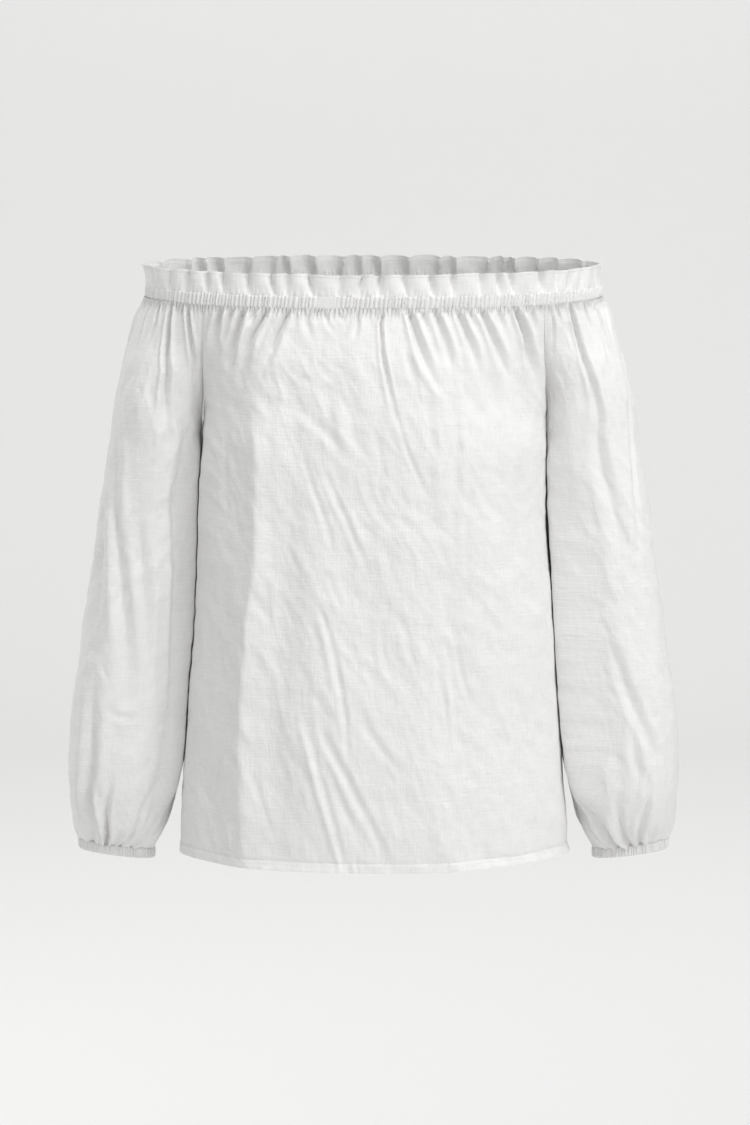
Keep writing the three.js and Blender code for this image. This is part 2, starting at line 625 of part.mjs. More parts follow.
function sleeveChange(troughs, at, round, z) {
  let change = 0;
  for (const f of troughs) {
    const t = clamp01((f.z - z) / (f.z - f.footZ));
    const middle = f.at + (f.footAt - f.at) * t;
    const share = f.z > -20 ? troughShare(z, f.z, f.footZ) : creaseShare(z, f.z, f.footZ);
    change -= f.deep * share * bell((at - middle) * round, f.wide * (f.z > -20 ? 1 + t : 1));
  }
  const edge = Math.min(at, 1 - at) * round;
  change *= smooth(edge / 9);
  const end = smooth((-z - 486) / 18) * (1 - smooth((-z - 511) / 7.5));
  const wave = 0.5 - 0.5 * Math.cos(at * SLEEVE_END_GATHERS * Math.PI * 2);
  return change + SLEEVE_END_GATHER_DEPTH * end * (wave - 0.35);
}

// The sleeve on the +X side, or its mirror image on the other side
function sleeve(name, mirrored, troughs) {
  const wrapFrom = SEAM_ROWS.length - 1;
  const base = sleevePoints();
  const outer = displaced(base, wrapFrom, (r, c) =>
    sleeveChange(troughs, c / SLEEVE_COLUMNS, base[r][c].round, SLEEVE_ROWS[r]),
  );
  const inner = clothInside(outer, wrapFrom, CUFF_TILT, () => null);
  return namedMesh(name, wallGeometry(...turned(outer, inner, mirrored), wrapFrom));
}

// Mirror image in X with the columns in reverse, so that faces still face out
function turned(outer, inner, mirrored) {
  if (!mirrored) return [outer, inner];
  const turn = (grid) => grid.map((list) => list.map((p) => new THREE.Vector3(-p.x, p.y, p.z)).reverse());
  return [turn(outer), turn(inner)];
}

// Ring of an elastic casing: rows of a height share, an outward push and a pucker share
const CASING_SECTION = [
  { up: 1, push: 0, pucker: 0.4 },
  { up: 0.5, push: 1, pucker: 1 },
  { up: 0, push: 0, pucker: 0.4 },
];

function neckCasing() {
  const columns = CASING_PUCKERS * CASING_COLUMNS_PER_PUCKER;
  const ring = evenPoints(neckPoint, columns, 4800);
  const outer = [];
  const inner = [];
  for (const s of CASING_SECTION) {
    outer.push([]);
    inner.push([]);
    for (let c = 0; c <= columns; c += 1) {
      const p = ring[c % columns];
      const n = neckNormal(p.x, p.y);
      const wave = 0.5 + 0.5 * Math.cos((c / CASING_COLUMNS_PER_PUCKER) * Math.PI * 2);
      const push = CASING_BULGE * s.push + CASING_PUCKER_DEPTH * s.pucker * wave;
      const z = neckDip(p.y, 0) + CASING_HEIGHT * (s.up - 0.5);
      outer[outer.length - 1].push(new THREE.Vector3(p.x + n.x * push, p.y + n.y * push, z));
      const back = -CASING_WALL + 0.5 * CASING_PUCKER_DEPTH * s.pucker * wave;
      inner[inner.length - 1].push(new THREE.Vector3(p.x + n.x * back, p.y + n.y * back, z));
    }
  }
  return namedMesh("neck_casing", wallGeometry(outer, inner, 0));
}

// Columns of the frill: each valley, and three columns between it and the next one
function frillColumns() {
  const samples = 4800;
  const ring = evenPoints(neckPoint, samples, samples);
  const valleys = [];
  for (const [list, front] of [[FRILL_FRONT_VALLEYS, true], [FRILL_BACK_VALLEYS, false]]) {
    for (const v of list) {
      let best = 0;
      for (let i = 0; i < samples; i += 1) {
        const sameSide = ring[i].y < 0 === front;
        if (sameSide && Math.abs(ring[i].x - v.x) < Math.abs(ring[best].x - v.x)) best = i;
      }
      valleys.push({ at: best / samples, deep: v.deep });
    }
  }
  valleys.sort((a, b) => a.at - b.at);
  const columns = [];
  valleys.forEach((v, i) => {
    const next = valleys[(i + 1) % valleys.length];
    const gap = (next.at - v.at + 1) % 1;
    const crest = Math.min(3.4, gap * ring[0].length * 0.13);
    for (const k of [0, 0.25, 0.5, 0.75]) {
      const valleyDeep = v.deep * (1 - k) + next.deep * k;
      const rise = Math.sin(Math.PI * k) ** 0.7;
      const p = ring[Math.round((v.at + gap * k) * samples) % samples];
      columns.push({ x: p.x, y: p.y, wave: rise * (valleyDeep + crest) - valleyDeep });
    }
  });
  columns.push(columns[0]);
  return columns;
}

const FRILL_SECTION = [
  { up: 1, wave: 1 },
  { up: 0.42, wave: 0.66 },
  { up: 0, wave: 0 },
];

function neckFrill() {
  const columns = frillColumns();
  const outer = FRILL_SECTION.map((s) =>
    columns.map((p) => {
      const n = neckNormal(p.x, p.y);
      const push = FRILL_FLARE * s.up + p.wave * s.wave;
      const front = FRILL_FRONT_TALLER * clamp01(-p.y / NECK_FRONT_DEPTH);
      const back = FRILL_BACK_TALLER * clamp01(p.y / NECK_BACK_DEPTH);
      const height = FRILL_HEIGHT + front + back + 0.22 * p.wave;
      const z = neckDip(p.y, 0) + CASING_HEIGHT / 2 + SEAM_GAP + height * s.up;
      return new THREE.Vector3(p.x + n.x * push, p.y + n.y * push, z);
    }),
  );
  const directions = outwardDirections(outer, 0);
  const inner = outer.map((list, r) =>
    list.map((p, c) => {
      const d = directions[r][c];
      d.z = 0;
      return p.clone().addScaledVector(d.normalize(), -FRILL_CLOTH);
    }),
  );
  return namedMesh("neck_frill", wallGeometry(outer, inner, 0));
}

// Cuff ring under the sleeve's lower edge, level with the tilted sleeve end
function cuff(name, mirrored) {
  const columns = CUFF_PUCKERS * CUFF_COLUMNS_PER_PUCKER;
  const power = 2 / SLEEVE_ROUNDNESS;
  const last = SLEEVE_TABLE[SLEEVE_TABLE.length - 1];
  const ring = evenPoints((t) => {
    const angle = -Math.PI + t * Math.PI * 2;
    return {
      x: CUFF_X + CUFF_HALF_WIDTH * signedPower(Math.cos(angle), power),
      y: last.midY + CUFF_HALF_DEPTH * signedPower(Math.sin(angle), power),
    };
  }, columns, 960);
  const outer = [];
  const inner = [];
  for (const s of CASING_SECTION) {
    outer.push([]);
    inner.push([]);
    for (let c = 0; c <= columns; c += 1) {
      const p = ring[c % columns];
      const before = ring[(c + columns - 1) % columns];
      const after = ring[(c + 1) % columns];
      const size = Math.hypot(after.x - before.x, after.y - before.y);
      const n = { x: (after.y - before.y) / size, y: -(after.x - before.x) / size };
      const wave = 0.5 + 0.5 * Math.cos((c / CUFF_COLUMNS_PER_PUCKER) * Math.PI * 2);
      const push = 0.5 * s.push + CUFF_PUCKER_DEPTH * s.pucker * wave;
      for (const [grid, away] of [[outer, push], [inner, -CUFF_WALL]]) {
        const x = p.x + n.x * away;
        const z = cuffPlane(x) - CUFF_HEIGHT * (1 - s.up);
        grid[grid.length - 1].push(new THREE.Vector3(x, p.y + n.y * away, z));
      }
    }
  }
  return namedMesh(name, wallGeometry(...turned(outer, inner, mirrored), 0));
}

const top = new THREE.Group();
top.name = "off_shoulder_top";
top.add(neckFrill());
top.add(neckCasing());
top.add(panel("front_panel", true));
top.add(panel("back_panel", false));
top.add(sleeve("sleeve_left", false, LEFT_SLEEVE_TROUGHS));
top.add(sleeve("sleeve_right", true, RIGHT_SLEEVE_TROUGHS));
top.add(cuff("cuff_left", false));
top.add(cuff("cuff_right", true));

export default top;
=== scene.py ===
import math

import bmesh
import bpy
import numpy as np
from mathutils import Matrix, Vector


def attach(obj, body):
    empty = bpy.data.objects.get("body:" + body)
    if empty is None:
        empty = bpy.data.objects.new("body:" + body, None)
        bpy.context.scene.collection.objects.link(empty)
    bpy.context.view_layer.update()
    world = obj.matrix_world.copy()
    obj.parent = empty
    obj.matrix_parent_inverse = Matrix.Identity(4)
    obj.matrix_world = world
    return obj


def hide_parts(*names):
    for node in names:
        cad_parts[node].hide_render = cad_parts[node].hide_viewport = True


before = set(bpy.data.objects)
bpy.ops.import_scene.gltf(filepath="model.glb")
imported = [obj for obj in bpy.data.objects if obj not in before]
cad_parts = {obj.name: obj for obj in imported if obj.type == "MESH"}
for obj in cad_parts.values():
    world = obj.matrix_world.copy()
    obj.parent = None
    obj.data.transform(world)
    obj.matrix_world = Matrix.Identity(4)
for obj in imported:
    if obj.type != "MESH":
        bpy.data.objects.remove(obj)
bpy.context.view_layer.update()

# %% [markdown]
# An off-shoulder top in white linen. The frame gives eight rigid walls at their real size: a frill, the neck casing,
# a front and a back panel, two sleeves and two cuffs. Here each wall gets the cloth that stands for it.
# The cloth could be drawn as one skin, but a maker sews it from these same pieces, so each one stays its own mesh
# with its own thickness, and the seams between them are real edges.

# %% [markdown]
# The garment follows a few driving sizes, all in metres, with +Z up and the front facing -Y.
# Two small helpers do most of the shaping: a soft step between 0 and 1, and a bell that is 1 on a fold's own line.

# %% Sizes and small helpers
NECK_HALF_WIDTH = 0.2104
NECK_FRONT_DEPTH = 0.100
NECK_BACK_DEPTH = 0.096
NECK_ROUNDNESS = 2.2
NECK_FRONT_DIP = 0.0044
NECK_DIP_FADE = 0.110
CASING_HEIGHT = 0.010
SEAM_X = 0.157
UNDERARM_Z = -0.130
SIDE_SEAM_Y = -0.014
SEAM_SWEEP = 1.7
SEAM_GAP = 0.0001
CLOTH = 0.0008
PANEL_TOP_Z = -CASING_HEIGHT / 2
HEM_Z = -0.522


def smooth(t):
    k = np.clip(t, 0, 1)
    return k * k * (3 - 2 * k)


def bell(distance, wide):
    return np.exp(-((distance / wide) ** 2))


def signed_power(value, power):
    return np.sign(value) * np.abs(value) ** power


def read_table(rows, column, at):
    """Smooth curve through one column of a table whose first column only rises or only falls."""
    table = np.array(rows, float)
    key, value = table[:, 0], table[:, column]
    before = np.maximum(np.arange(len(key)) - 1, 0)
    after = np.minimum(np.arange(len(key)) + 1, len(key) - 1)
    slope = (value[after] - value[before]) / (key[after] - key[before])
    sign = 1 if key[-1] > key[0] else -1
    at = np.asarray(at, float)
    i = np.clip(np.searchsorted(sign * key, sign * at, side="right") - 1, 0, len(key) - 2)
    span = key[i + 1] - key[i]
    t = np.clip((at - key[i]) / span, 0, 1)
    keep = (2 * t**3 - 3 * t**2 + 1) * value[i] + (t**3 - 2 * t**2 + t) * span * slope[i]
    return keep + (3 * t**2 - 2 * t**3) * value[i + 1] + (t**3 - t**2) * span * slope[i + 1]


def even_points(x, y, columns):
    """Points spaced evenly along a plane curve, and the curve's length."""
    along = np.concatenate([[0], np.cumsum(np.hypot(np.diff(x), np.diff(y)))])
    want = np.linspace(0, along[-1], columns + 1)
    return np.interp(want, along, x), np.interp(want, along, y), along[-1]


def spread_rows(top, low, count, crowding):
    """Heights from top to low, closer together near the top."""
    t = np.linspace(0, 1, count)
    return top + (low - top) * (t * (1 - crowding) + crowding * t * t)


print("cloth", CLOTH * 1000, "mm thick")

# %% [markdown]
# Everything hangs from one ring, the neck elastic. It is a rounded oval that dips a little at the front,
# and the dip fades out down the garment.

# %% Neck ring
RING_SAMPLES = 4800


def neck_point(turn):
    """Point of the ring; turn runs from 0 at the front middle by the +X side to 0.5 at the back."""
    angle = np.asarray(turn) * 2 * math.pi
    power = 2 / NECK_ROUNDNESS
    depth = np.where(np.cos(angle) > 0, NECK_FRONT_DEPTH, NECK_BACK_DEPTH)
    return NECK_HALF_WIDTH * signed_power(np.sin(angle), power), -depth * signed_power(np.cos(angle), power)


def neck_y(x, depth):
    return depth * (1 - np.abs(x / NECK_HALF_WIDTH) ** NECK_ROUNDNESS) ** (1 / NECK_ROUNDNESS)


def neck_normal(x, y):
    depth = np.where(y < 0, NECK_FRONT_DEPTH, NECK_BACK_DEPTH)
    nx = signed_power(x / NECK_HALF_WIDTH, NECK_ROUNDNESS - 1) / NECK_HALF_WIDTH
    ny = signed_power(y / depth, NECK_ROUNDNESS - 1) / depth
    size = np.hypot(nx, ny)
    return nx / size, ny / size


def neck_dip(y, z):
    front = np.clip(-y / NECK_FRONT_DEPTH, 0, 1) ** 1.6
    return -NECK_FRONT_DIP * front * (1 - smooth(-np.asarray(z) / NECK_DIP_FADE))


SEAM_FRONT_Y = neck_y(SEAM_X, NECK_FRONT_DEPTH)
SEAM_BACK_Y = neck_y(SEAM_X, NECK_BACK_DEPTH)
ring_x, ring_y = neck_point(np.linspace(0, 1, RING_SAMPLES + 1))
_, _, NECK_LENGTH = even_points(ring_x, ring_y, 8)
print("neck ring", round(NECK_LENGTH, 3), "m round")

# %% [markdown]
# Linen never lies smooth. Its crumples are random hills of several sizes. A Displace modifier could move the cloth by
# a texture, but hills worked out here can be mixed with the folds before the wall gets its thickness. They are seeded
# gradient noise, so every run draws the same ones.

# %% Random hills
NOISE_GRID = 64


def hills(u, v, wide, tall, seed):
    """Smooth random hills, about -1 to 1, each about wide by tall."""
    angle = np.random.default_rng(seed).uniform(0, 2 * math.pi, (NOISE_GRID, NOISE_GRID))
    a, b = u / wide + 7.3, v / tall + 3.7
    i, j = np.floor(a).astype(int), np.floor(b).astype(int)
    s, t = a - i, b - j
    fade_s, fade_t = s**3 * (s * (s * 6 - 15) + 10), t**3 * (t * (t * 6 - 15) + 10)

    def corner(di, dj):
        turn = angle[(i + di) % NOISE_GRID, (j + dj) % NOISE_GRID]
        return np.cos(turn) * (s - di) + np.sin(turn) * (t - dj)

    low = corner(0, 0) * (1 - fade_s) + corner(1, 0) * fade_s
    high = corner(0, 1) * (1 - fade_s) + corner(1, 1) * fade_s
    return 1.5 * (low * (1 - fade_t) + high * fade_t)


print("noise grid", NOISE_GRID, "by", NOISE_GRID)

# %% [markdown]
# The strong folds are listed one by one. Each is a path down the cloth with a width and a depth: a trough with a low
# ridge on both flanks, because pushed-in cloth stands up beside the fold. A gathered fold is at its deepest under the
# casing and opens out below it. The other folds fade at both ends.

# %% Folds along a path
GATHER_STRENGTH = 1.75
GATHER_HELD = 0.35
FLANK_RIDGE = 0.42


def along_path(x, z, path):
    """Signed distance from each point to a path, and the share of the way along it."""
    points = np.array(path, float)
    length = np.hypot(*np.diff(points, axis=0).T)
    start = np.concatenate([[0], np.cumsum(length)])
    best = np.full(x.shape, np.inf)
    share = np.zeros(x.shape)
    side = np.ones(x.shape)
    for k in range(len(points) - 1):
        (ax, az), (bx, bz) = points[k], points[k + 1]
        dx, dz = bx - ax, bz - az
        raw = ((x - ax) * dx + (z - az) * dz) / length[k] ** 2
        t = np.clip(raw, 0, 1)
        away = np.hypot(x - ax - t * dx, z - az - t * dz)
        near = away < best
        best = np.where(near, away, best)
        share = np.where(near, (start[k] + t * length[k]) / start[-1], share)
        side = np.where(near, np.sign(dx * (z - az) - dz * (x - ax)), side)
    return best * side, share


def fold_change(x, z, folds, gathered):
    """Depth of a list of folds; a gathered one starts full at the casing, the others fade at both ends."""
    change = np.zeros(x.shape)
    for wide, deep, path in folds:
        away, share = along_path(x, z, path)
        if gathered:
            strength = GATHER_STRENGTH * (1 - smooth((share - GATHER_HELD) / (1 - GATHER_HELD)))
            width = wide * (0.62 + 0.60 * share)
        else:
            strength = np.sin(math.pi * np.clip(share, 0.02, 0.98)) ** 0.7
            width = wide
        trough = 0.6 * bell(away, width) + 0.4 * np.exp(-np.abs(away / (0.62 * width)) ** 1.3)
        flank = bell(np.abs(away) - 1.8 * width, 0.85 * width)
        change += -deep * strength * (trough - FLANK_RIDGE * flank)
    return change


print("a gathered fold keeps its depth over", GATHER_HELD, "of its path")

# %% [markdown]
# Between the folds lie short sharp creases at random places and the crushed ground of washed linen: slow swells,
# hand-sized waves, fine marks, and narrow ridges in three directions. A cloth simulation could give the large folds,
# but not the marks that wear has pressed into linen, so each kind is added here with its own depth.

# %% Small creases and crumples
CREASE_HALF_LENGTH = (0.007, 0.030)
CREASE_HALF_WIDTH = (0.0014, 0.0032)
CREASE_HEIGHT = (0.00012, 0.00062)
SWELL = 0.0028
WAVE = 0.00070
MARKS = 0.00058
LARGE_RIDGES = 0.00075
FINE_RIDGES = 0.00062
CROSS_RIDGES = 0.00050


def small_creases(u, v, count, seed, box, slant):
    """Short sharp creases at random places in a box of u and v, mostly along the slant angle."""
    rng = np.random.default_rng(seed)
    change = np.zeros(u.shape)
    for _ in range(count):
        cu, cv = rng.uniform(box[0], box[1]), rng.uniform(box[2], box[3])
        angle = rng.normal(slant, 0.55)
        half = rng.uniform(*CREASE_HALF_LENGTH)
        wide = rng.uniform(*CREASE_HALF_WIDTH)
        deep = rng.uniform(*CREASE_HEIGHT) * rng.choice([-1, 1], p=[0.6, 0.4])
        bow = rng.uniform(-0.12, 0.12)
        du, dv = u - cu, v - cv
        along = (du * math.cos(angle) + dv * math.sin(angle)) / half
        across = -du * math.sin(angle) + dv * math.cos(angle) + bow * half * along**2
        near = (np.abs(along) < 1) & (np.abs(across) < 4 * wide)
        if near.any():
            a, c = along[near], across[near]
            edge = np.where(c > 0, 1.0, 2.1)
            change[near] += deep * (1 - a * a) ** 1.5 * np.exp(-np.abs(c / (wide * edge)) ** 1.3)
    return change


def ridge_lines(u, v, wide, tall, seed):
    """Crisp narrow ridges that wander between random hills, 0 to 1."""
    return np.clip(1 - np.abs(hills(u, v, wide, tall, seed)) * 2.2, 0, 1) ** 3


def crumple(u, v, seed):
    """The rumpled ground of washed linen: slow swells, hand-sized waves and fine crushed marks."""
    bend_u = u + 0.006 * hills(u, v, 0.05, 0.06, seed + 1)
    bend_v = v + 0.006 * hills(u, v, 0.06, 0.05, seed + 2)
    slant_u, slant_v = bend_u * 0.93 + bend_v * 0.36, bend_v * 0.93 - bend_u * 0.36
    swell = SWELL * hills(bend_u * 0.98 + bend_v * 0.20, bend_v, 0.060, 0.170, seed + 3)
    wave = WAVE * hills(slant_u, slant_v, 0.024, 0.075, seed + 4)
    small = MARKS * hills(bend_u + 0.3 * bend_v, bend_v, 0.0105, 0.022, seed + 5)
    crushed = 0.25 + 0.75 * smooth(hills(u, v, 0.08, 0.11, seed + 7) + 0.5)
    large_lines = LARGE_RIDGES * ridge_lines(slant_u, slant_v, 0.034, 0.120, seed + 6)
    fine_lines = FINE_RIDGES * ridge_lines(slant_u + 0.15 * bend_v, slant_v, 0.016, 0.048, seed + 8)
    cross_u, cross_v = bend_u * 0.80 - bend_v * 0.60, bend_v * 0.80 + bend_u * 0.60
    cross_lines = CROSS_RIDGES * ridge_lines(cross_u, cross_v, 0.018, 0.050, seed + 9)
    return swell + wave + small + (large_lines + fine_lines + cross_lines) * crushed


print("slow swells", SWELL * 1000, "mm, crushed marks", MARKS * 1000, "mm")

# %% [markdown]
# A woven sheet has two faces and an edge all round. A modifier could thicken a single skin, but the thickness would
# then be uneven where the folds are tight, so the wall is built from an outer grid of points and an inner one
# that lies one cloth thickness behind it. A grid can close on itself, as a sleeve does below the underarm.
# Each wall gets three UV maps: "cloth" is the place on the flat cloth in metres, "stitches" the distance from a seam
# and from a hem line, and "drawn_in" the place along the neck ring and below the casing. The material reads all three.

# %% Building a cloth wall
def outward(points, wrap_from):
    """Unit directions away from the cloth, from each point's neighbours in the grid."""
    rows, columns = points.shape[:2]
    along = np.empty_like(points)
    along[:, 1:-1] = points[:, 2:] - points[:, :-2]
    along[:, 0] = points[:, 1] - points[:, 0]
    along[:, -1] = points[:, -1] - points[:, -2]
    closed = np.arange(rows) >= wrap_from
    seam = points[:, 1] - points[:, columns - 2]
    along[closed, 0] = seam[closed]
    along[closed, -1] = seam[closed]
    down = np.empty_like(points)
    down[1:-1] = points[2:] - points[:-2]
    down[0] = points[1] - points[0]
    down[-1] = points[-1] - points[-2]
    direction = np.cross(down, along)
    return direction / np.linalg.norm(direction, axis=2, keepdims=True)


def cloth_wall(name, outer, inner, uv, wrap_from=None, stitched=None, drawn_in=None):
    """A closed wall between two grids of points; rows from wrap_from on are closed rings."""
    rows, columns = outer.shape[0], outer.shape[1] - 1
    wrap_from = rows if wrap_from is None else wrap_from
    index = np.arange(rows * (columns + 1)).reshape(rows, columns + 1)
    index[wrap_from:, columns] = index[wrap_from:, 0]
    used, flat = np.unique(index, return_inverse=True)
    face_point = flat.reshape(index.shape)
    count = len(used)
    outer_at, inner_at = face_point, face_point + count
    points = np.concatenate([outer.reshape(-1, 3)[used], inner.reshape(-1, 3)[used]])
    grid = np.arange(rows * (columns + 1)).reshape(rows, columns + 1)
    quads, corners = [], []

    def add(at, reverse, r0, r1, c0, c1):
        faces = np.stack([at[r0, c0], at[r1, c0], at[r1, c1], at[r0, c1]], axis=-1).reshape(-1, 4)
        places = np.stack([grid[r0, c0], grid[r1, c0], grid[r1, c1], grid[r0, c1]], axis=-1).reshape(-1, 4)
        quads.append(faces[:, ::-1] if reverse else faces)
        corners.append(places[:, ::-1] if reverse else places)

    r, c = np.meshgrid(np.arange(rows - 1), np.arange(columns), indexing="ij")
    add(outer_at, False, r, r + 1, c, c + 1)
    add(inner_at, True, r, r + 1, c, c + 1)

    def edge(r0, c0, r1, c1):
        faces = [outer_at[r0, c0], outer_at[r1, c1], inner_at[r1, c1], inner_at[r0, c0]]
        places = [grid[r0, c0], grid[r1, c1], grid[r1, c1], grid[r0, c0]]
        quads.append(np.stack(faces, axis=-1))
        corners.append(np.stack(places, axis=-1))

    c = np.arange(columns)
    top, low = np.zeros(columns, int), np.full(columns, rows - 1)
    edge(top, c, top, c + 1)
    edge(low, c + 1, low, c)
    r = np.arange(min(rows - 1, wrap_from))
    first, last = np.zeros(len(r), int), np.full(len(r), columns)
    edge(r + 1, first, r, first)
    edge(r, last, r + 1, last)
    quads, corners = np.concatenate(quads), np.concatenate(corners)
    mesh = bpy.data.meshes.new(name)
    mesh.from_pydata(points.tolist(), [], quads.tolist())
    layer = mesh.uv_layers.new(name="cloth")
    layer.data.foreach_set("uv", uv.reshape(-1, 2)[corners.reshape(-1)].astype(np.float32).ravel())
    for map_name, values in [("stitches", stitched), ("drawn_in", drawn_in)]:
        values = np.ones(uv.shape) if values is None else values
        layer = mesh.uv_layers.new(name=map_name)
        layer.data.foreach_set("uv", values.reshape(-1, 2)[corners.reshape(-1)].astype(np.float32).ravel())
    mesh.update()
    piece = bpy.data.objects.new(name, mesh)
    bpy.context.scene.collection.objects.link(piece)
    return piece


print("UV maps", ["cloth", "stitches", "drawn_in"])

# %% [markdown]
# Every finished wall has its faces turned outward and is shaded smooth, apart from its cut edges. It then hides the
# rigid wall it stands for and prints how large its flat cloth was, so that the cloth can be compared with a real cut.

# %% Finishing a piece
MIRROR = np.array([-1.0, 1.0, 1.0])


def face_out_and_soften(piece, angle=70):
    """Turns every face outward and shades the cloth smooth, with its cut edges left crisp."""
    work = bmesh.new()
    work.from_mesh(piece.data)
    bmesh.ops.recalc_face_normals(work, faces=work.faces)
    work.to_mesh(piece.data)
    work.free()
    bpy.ops.object.select_all(action="DESELECT")
    piece.select_set(True)
    bpy.context.view_layer.objects.active = piece
    bpy.ops.object.shade_smooth_by_angle(angle=math.radians(angle))
    piece.select_set(False)
    return piece


def sheet_area(outer):
    """Area of one face of a grid of points."""
    side = outer[1:, :-1] - outer[:-1, :-1]
    across = outer[:-1, 1:] - outer[:-1, :-1]
    return float(np.linalg.norm(np.cross(side, across), axis=2).sum())


def declare(piece, node, outer, flat, area=None):
    """Ties a piece to its place in the frame and states how its cloth was cut."""
    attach(piece, "root")
    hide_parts(node)
    cut = area or flat[0] * flat[1]
    print(piece.name, len(piece.data.polygons), "faces, area", round(sheet_area(outer), 4), "cut", round(cut, 4))


print("pieces are mirrored by", MIRROR.tolist())

# %% [markdown]
# The elastic draws the neck up into fine upright puckers of uneven width, which lean a little to one side. They run
# on for a few millimetres above and below the casing, so frill, casing, panels and sleeves all read the same wave.
# One short stretch lies flat, where the elastic was joined.

# %% Puckers of the neck
NECK_PUCKER_PITCH = 0.0037
NECK_PUCKER_DEPTH = 0.0023
PUCKER_LEAN = 0.13
PUCKER_FADE = 0.0110
FLAT_STRETCH = (-0.054, -0.034)
PUCKER_SEED = 5
PUCKER_ROUNDNESS = 0.62
FLAT_EDGE = 0.011


def pucker_wave(along, total, pitch, seed):
    """0 in the grooves and up to 1 on the ridges, round a closed ring of this length."""
    rng = np.random.default_rng(seed)
    steps = rng.uniform(0.62, 1.42, int(round(total / pitch)))
    grooves = np.concatenate([[0], np.cumsum(steps)]) * total / steps.sum()
    tall = rng.uniform(0.55, 1.0, len(steps))
    place = along % total
    i = np.clip(np.searchsorted(grooves, place, side="right") - 1, 0, len(steps) - 1)
    k = (place - grooves[i]) / (grooves[i + 1] - grooves[i])
    return np.sin(math.pi * k) ** PUCKER_ROUNDNESS * tall[i]


def neck_puckers(along, z):
    """Push of the puckers at a place round the neck ring and a height; it fades above and below the casing."""
    x, y, _ = even_points(ring_x, ring_y, RING_SAMPLES)
    flat_from, flat_to = [float(np.argmin(np.where(y < 0, np.abs(x - edge), np.inf))) for edge in FLAT_STRETCH]
    middle, half = (flat_from + flat_to) / 2, abs(flat_to - flat_from) / 2
    step = NECK_LENGTH / RING_SAMPLES
    away = np.abs(along % NECK_LENGTH / step - middle) * step
    puckered = smooth((away - half * step + 0.6 * z) / FLAT_EDGE + 0.5)
    wave = pucker_wave(along - PUCKER_LEAN * z, NECK_LENGTH, NECK_PUCKER_PITCH, PUCKER_SEED)
    beyond = np.clip((np.abs(z) - CASING_HEIGHT / 2) / PUCKER_FADE, 0, 1)
    return NECK_PUCKER_DEPTH * (wave - 0.5) * puckered * (1 - beyond) ** 1.6


def ring_place(x, y):
    """Place along the neck ring, from the front middle by the +X side, of points that lie on it."""
    ring_at_x, ring_at_y, _ = even_points(ring_x, ring_y, RING_SAMPLES)
    nearest = [int(np.argmin((ring_at_x - px) ** 2 + (ring_at_y - py) ** 2)) for px, py in zip(x, y)]
    return np.unwrap(np.array(nearest) / RING_SAMPLES * 2 * math.pi) / (2 * math.pi) * NECK_LENGTH


print("puckers round the neck", int(round(NECK_LENGTH / NECK_PUCKER_PITCH)))

# %% [markdown]
# The body is two panels, joined at the side seams below the underarm. Each row of a panel blends from the arc of the
# neck ring to a rounded oval of the body, which widens towards the hem. At the underarm the slope changes, so the rows
# near it are evened out, or a level band of light would show there.

# %% Panel shape
BODY_TABLE = [
    # height, half width, depth in front, depth behind, roundness
    (0, 0.157, 0.100, 0.096, 2.6),
    (-0.030, 0.157, 0.107, 0.098, 2.6),
    (-0.065, 0.1571, 0.115, 0.100, 2.6),
    (-0.101, 0.1573, 0.1205, 0.1025, 2.6),
    (-0.130, 0.1583, 0.124, 0.104, 2.6),
    (-0.191, 0.1614, 0.1275, 0.1065, 2.5),
    (-0.247, 0.164, 0.130, 0.110, 2.42),
    (-0.315, 0.1682, 0.1325, 0.114, 2.32),
    (-0.383, 0.1728, 0.136, 0.1185, 2.22),
    (-0.440, 0.1767, 0.139, 0.1225, 2.15),
    (-0.486, 0.1788, 0.141, 0.126, 2.1),
    (-0.522, 0.180, 0.142, 0.128, 2.05),
]
FRONT_HEM = [
    # x, drop below the hem line
    (-0.180, 0), (-0.168, -0.002), (-0.150, -0.0012), (-0.110, 0.0002), (-0.060, 0.001), (0, 0.0015),
    (0.060, 0.0015), (0.100, -0.0004), (0.140, -0.0016), (0.168, -0.0026), (0.180, 0),
]
BACK_HEM = [
    (-0.180, 0), (-0.140, -0.003), (-0.070, 0.0005), (0.010, 0.002), (0.080, 0), (0.145, -0.003), (0.180, 0),
]
PANEL_COLUMNS = 290
PANEL_ROWS = 150
HEM_FADE = 0.060
BODY_SQUARE = 1.15
EASED_OVER = 0.018
EASED_BAND = 0.045
EASED_FROM_SEAM = 0.030


def panel_heights():
    """Heights of the rows: close together under the casing and in the hem, wider between."""
    under_casing = np.linspace(PANEL_TOP_Z, PANEL_TOP_Z - 0.008, 8)
    hem = np.linspace(HEM_Z + 0.013, HEM_Z, 10)
    between = spread_rows(under_casing[-1] - 0.0014, hem[0] + 0.0024, PANEL_ROWS, 0.36)
    return np.concatenate([under_casing, between, hem])


def sweep_at(z):
    """Share of the way from the neck's shape to the full body shape."""
    return np.clip((PANEL_TOP_Z - z) / (PANEL_TOP_Z - UNDERARM_Z), 0, 1) ** SEAM_SWEEP


